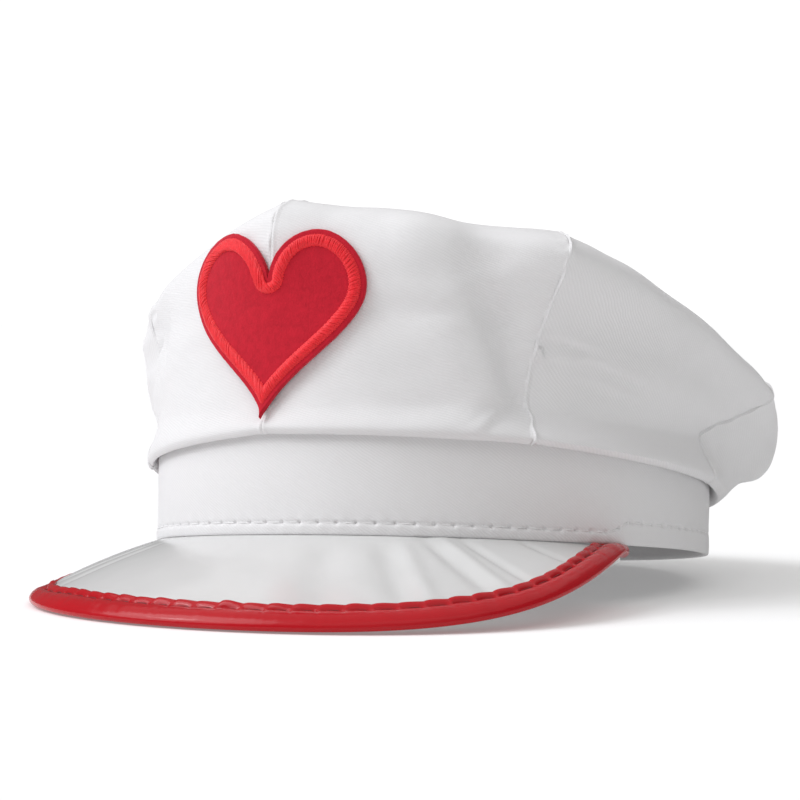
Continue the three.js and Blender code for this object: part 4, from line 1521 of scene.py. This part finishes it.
def add_felt(surface, steps):
    """The felt heart: rings of its outline on top, its rounded edge, and its back."""
    outline = heart_outline(0, steps)
    size = len(outline)
    rings = [0.04, 0.1, 0.2, 0.3, 0.4, 0.5, 0.6, 0.7, 0.8, 0.86, 0.9, 0.94, 0.97]
    points = [on_front(surface, (0, 0), PATCH_LIFT + PATCH_FELT)]
    for share in rings:
        points += [on_front(surface, flat * share, PATCH_LIFT + PATCH_FELT) for flat in outline]
    inner = heart_outline(0.25, steps)
    for flat, height in ((inner, PATCH_FELT), (outline, PATCH_FELT - 0.3), (outline, 0.3), (inner, 0.0)):
        points += [on_front(surface, point, PATCH_LIFT + height) for point in flat]
    points += [on_front(surface, flat * 0.5, PATCH_LIFT) for flat in outline]
    points.append(on_front(surface, (0, 0), PATCH_LIFT))
    loops = (len(points) - 2) // size
    last = 1 + (loops - 1) * size
    faces = [(0, 1 + (k + 1) % size, 1 + k) for k in range(size)]
    faces += shifted(ring_faces(loops, size), 1)
    faces += [(len(points) - 1, last + k, last + (k + 1) % size) for k in range(size)]
    piece = loose_mesh("patch_felt_heart", points, faces)
    recalculate(piece)
    dress(piece, "felt", "red_felt", "patch_felt")


def add_border(surface, sizes):
    """A raised pad under the threads, and the threads that cross it on a slant."""
    outer = heart_outline(PATCH_MARGIN, 160)
    inner = heart_outline(PATCH_MARGIN + BORDER_WIDTH, 160)
    base = PATCH_LIFT + PATCH_FELT - 0.15
    section = [(0.0, 0.0), (0.02, 0.35), (0.2, 0.7), (0.5, 0.85), (0.8, 0.7), (0.98, 0.35), (1.0, 0.0)]
    points = []
    for a, b in zip(outer, inner):
        points += [on_front(surface, a + (b - a) * share, base + height) for share, height in section]
    piece = loose_mesh("patch_border_pad", points, ring_faces(len(outer), len(section), closed=True))
    recalculate(piece)
    dress(piece, "border", "red_thread", "patch_border")
    add_border_threads(surface, sizes, base)


def add_border_threads(surface, sizes, base):
    """The border's threads: thin arched tubes from its outer to its inner edge, each a little different."""
    chance = random.Random(11)
    outer = heart_outline(PATCH_MARGIN - 0.1, THREAD_PLACES)
    inner = heart_outline(PATCH_MARGIN + BORDER_WIDTH + 0.1, THREAD_PLACES)
    run = run_along(heart_outline(PATCH_MARGIN + BORDER_WIDTH / 2, THREAD_PLACES))
    arcs = np.array([0.0, 0.62, 0.9, 1.0, 0.9, 0.62, 0.0])
    tube = tube_faces(len(arcs), THREAD_SIDES)
    points = []
    faces = []
    for number in range(int(run[-1] / sizes.thread_pitch)):
        at = (number + chance.uniform(-0.25, 0.25)) * sizes.thread_pitch
        slant = THREAD_SLANT + chance.uniform(-0.4, 0.4)
        first = int(np.interp(at, run, np.arange(len(run)))) % len(outer)
        second = int(np.interp((at + slant) % run[-1], run, np.arange(len(run)))) % len(inner)
        a, b = outer[first], inner[second]
        radius = THREAD_RADIUS + chance.uniform(-0.05, 0.05)
        lift = THREAD_ARCH + chance.uniform(-0.08, 0.12)
        ahead = unit(np.array([b[0] - a[0], 0, b[1] - a[1]]))
        faces += shifted(tube, len(points))
        for step, arc in enumerate(arcs):
            flat = a + (b - a) * (step / (len(arcs) - 1))
            centre = on_front(surface, flat, base + 0.1 + lift * arc)
            out = unit(on_front(surface, flat, base + 1) - on_front(surface, flat, base))
            side = unit(np.cross(out, ahead))
            size = radius * (0.55 + 0.45 * arc)
            for k in range(THREAD_SIDES):
                turn = 2 * math.pi * k / THREAD_SIDES
                points.append(centre + side * size * math.cos(turn) + out * size * 0.8 * math.sin(turn))
    piece = loose_mesh("patch_border_threads", points, faces)
    recalculate(piece)
    dress(piece, "border", "red_thread")


# The stage.
class CAP_OT_stage(bpy.types.Operator):
    """Set up the pale floor, the soft studio light and the camera"""

    bl_idname = "cap.stage"
    bl_label = "Floor, light and camera"

    def execute(self, context):
        studio = context.scene.cap_studio
        add_floor(studio)
        add_air(context.scene, studio)
        add_lights(studio)
        add_camera(context.scene)
        context.scene.view_settings.view_transform = "Standard"
        return {"FINISHED"}


def add_floor(studio):
    """A wide pale floor that glows a little, so that its colour stays even."""
    bpy.ops.object.select_all(action="DESELECT")
    bpy.ops.mesh.primitive_plane_add(size=60, location=(0, 0, 0))
    floor = bpy.context.object
    floor.name = "floor"
    material, _, shader = new_finish("pale_floor", (0.78, 0.78, 0.78), roughness=0.8, specular=0.1)
    shader.inputs["Emission Color"].default_value = (1, 1, 1, 1)
    shader.inputs["Emission Strength"].default_value = studio.floor_glow
    floor.data.materials.append(material)


def background_node(tree, strength, colour):
    node = tree.nodes.new("ShaderNodeBackground")
    node.inputs["Strength"].default_value = strength
    node.inputs["Color"].default_value = (*colour, 1)
    return node.outputs[0]


def add_air(scene, studio):
    """White all round: plain white to the camera, and softer as light on the cap."""
    world = bpy.data.worlds.new("studio_air")
    world.use_nodes = True
    tree = world.node_tree
    tree.nodes.clear()
    paths = tree.nodes.new("ShaderNodeLightPath")
    mix = tree.nodes.new("ShaderNodeMixShader")
    output = tree.nodes.new("ShaderNodeOutputWorld")
    link(tree, paths.outputs["Is Camera Ray"], mix.inputs[0])
    link(tree, background_node(tree, studio.air, (1.0, 0.985, 0.97)), mix.inputs[1])
    link(tree, background_node(tree, 1.1, (1, 1, 1)), mix.inputs[2])
    link(tree, mix.outputs[0], output.inputs[0])
    scene.world = world


def add_light(name, strength, spread, azimuth, height, colour):
    """A broad distant light that shines on the cap from a side and a height, in degrees."""
    data = bpy.data.lights.new(name, "SUN")
    data.energy = strength
    data.angle = math.radians(spread)
    data.color = colour
    light = bpy.data.objects.new(name, data)
    side, up = math.radians(azimuth), math.radians(height)
    place = Vector((-math.sin(side) * math.cos(up), -math.cos(side) * math.cos(up), math.sin(up)))
    light.location = place
    light.rotation_euler = place.to_track_quat("Z", "Y").to_euler()
    bpy.context.scene.collection.objects.link(light)


def add_lights(studio):
    add_light("key_left", studio.key, 50, studio.key_azimuth, studio.key_height, (0.95, 0.96, 1.0))
    add_light("top", studio.top, 100, 0, 88, (1.0, 0.995, 0.99))
    add_light("fill", studio.fill, 70, -45, 34, (1.0, 0.99, 0.975))
    add_light("spark", studio.spark, 9, studio.key_azimuth, studio.key_height, (1.0, 1.0, 1.0))


def add_camera(scene):
    """The photograph's camera, which looks at the cap from its left front."""
    turn = math.radians(CAMERA_AZIMUTH)
    right = Vector((math.cos(turn), math.sin(turn), 0))
    back = Vector((math.sin(turn), -math.cos(turn), 0))
    data = bpy.data.cameras.new("camera")
    data.lens = CAMERA_LENS
    data.sensor_width = 36
    data.clip_end = 100
    camera = bpy.data.objects.new("camera", data)
    middle = Vector((BAND_MIDDLE.x, BAND_MIDDLE.y, CAMERA_HEIGHT))
    camera.location = middle + back * CAMERA_DISTANCE + right * CAMERA_SIDESTEP
    camera.rotation_euler = (math.radians(90 - CAMERA_TIP_DOWN), 0, turn)
    scene.collection.objects.link(camera)
    scene.camera = camera


class VIEW3D_PT_cap(bpy.types.Panel):
    """The cap's pieces and its sizes and colours"""

    bl_label = "Soft peaked cap"
    bl_space_type = "VIEW_3D"
    bl_region_type = "UI"
    bl_category = "Cap"

    def draw(self, context):
        for operator in OPERATORS:
            self.layout.operator(operator.bl_idname)
        for group in (context.scene.cap_sizes, context.scene.cap_colours, context.scene.cap_studio):
            box = self.layout.box()
            for name in group.__annotations__:
                box.prop(group, name)


OPERATORS = (CAP_OT_stage, CAP_OT_band, CAP_OT_crown, CAP_OT_peak, CAP_OT_binding, CAP_OT_patch)
CLASSES = (CapSizes, CapColours, CapStudio) + OPERATORS + (VIEW3D_PT_cap,)


def register():
    for cls in CLASSES:
        bpy.utils.register_class(cls)
    bpy.types.Scene.cap_sizes = PointerProperty(type=CapSizes)
    bpy.types.Scene.cap_colours = PointerProperty(type=CapColours)
    bpy.types.Scene.cap_studio = PointerProperty(type=CapStudio)


def unregister():
    del bpy.types.Scene.cap_studio
    del bpy.types.Scene.cap_colours
    del bpy.types.Scene.cap_sizes
    for cls in reversed(CLASSES):
        bpy.utils.unregister_class(cls)


def main():
    register()
    bpy.ops.cap.stage()
    bpy.ops.cap.band()
    bpy.ops.cap.crown()
    bpy.ops.cap.peak()
    bpy.ops.cap.binding()
    bpy.ops.cap.patch()


if __name__ == "__main__":
    main()
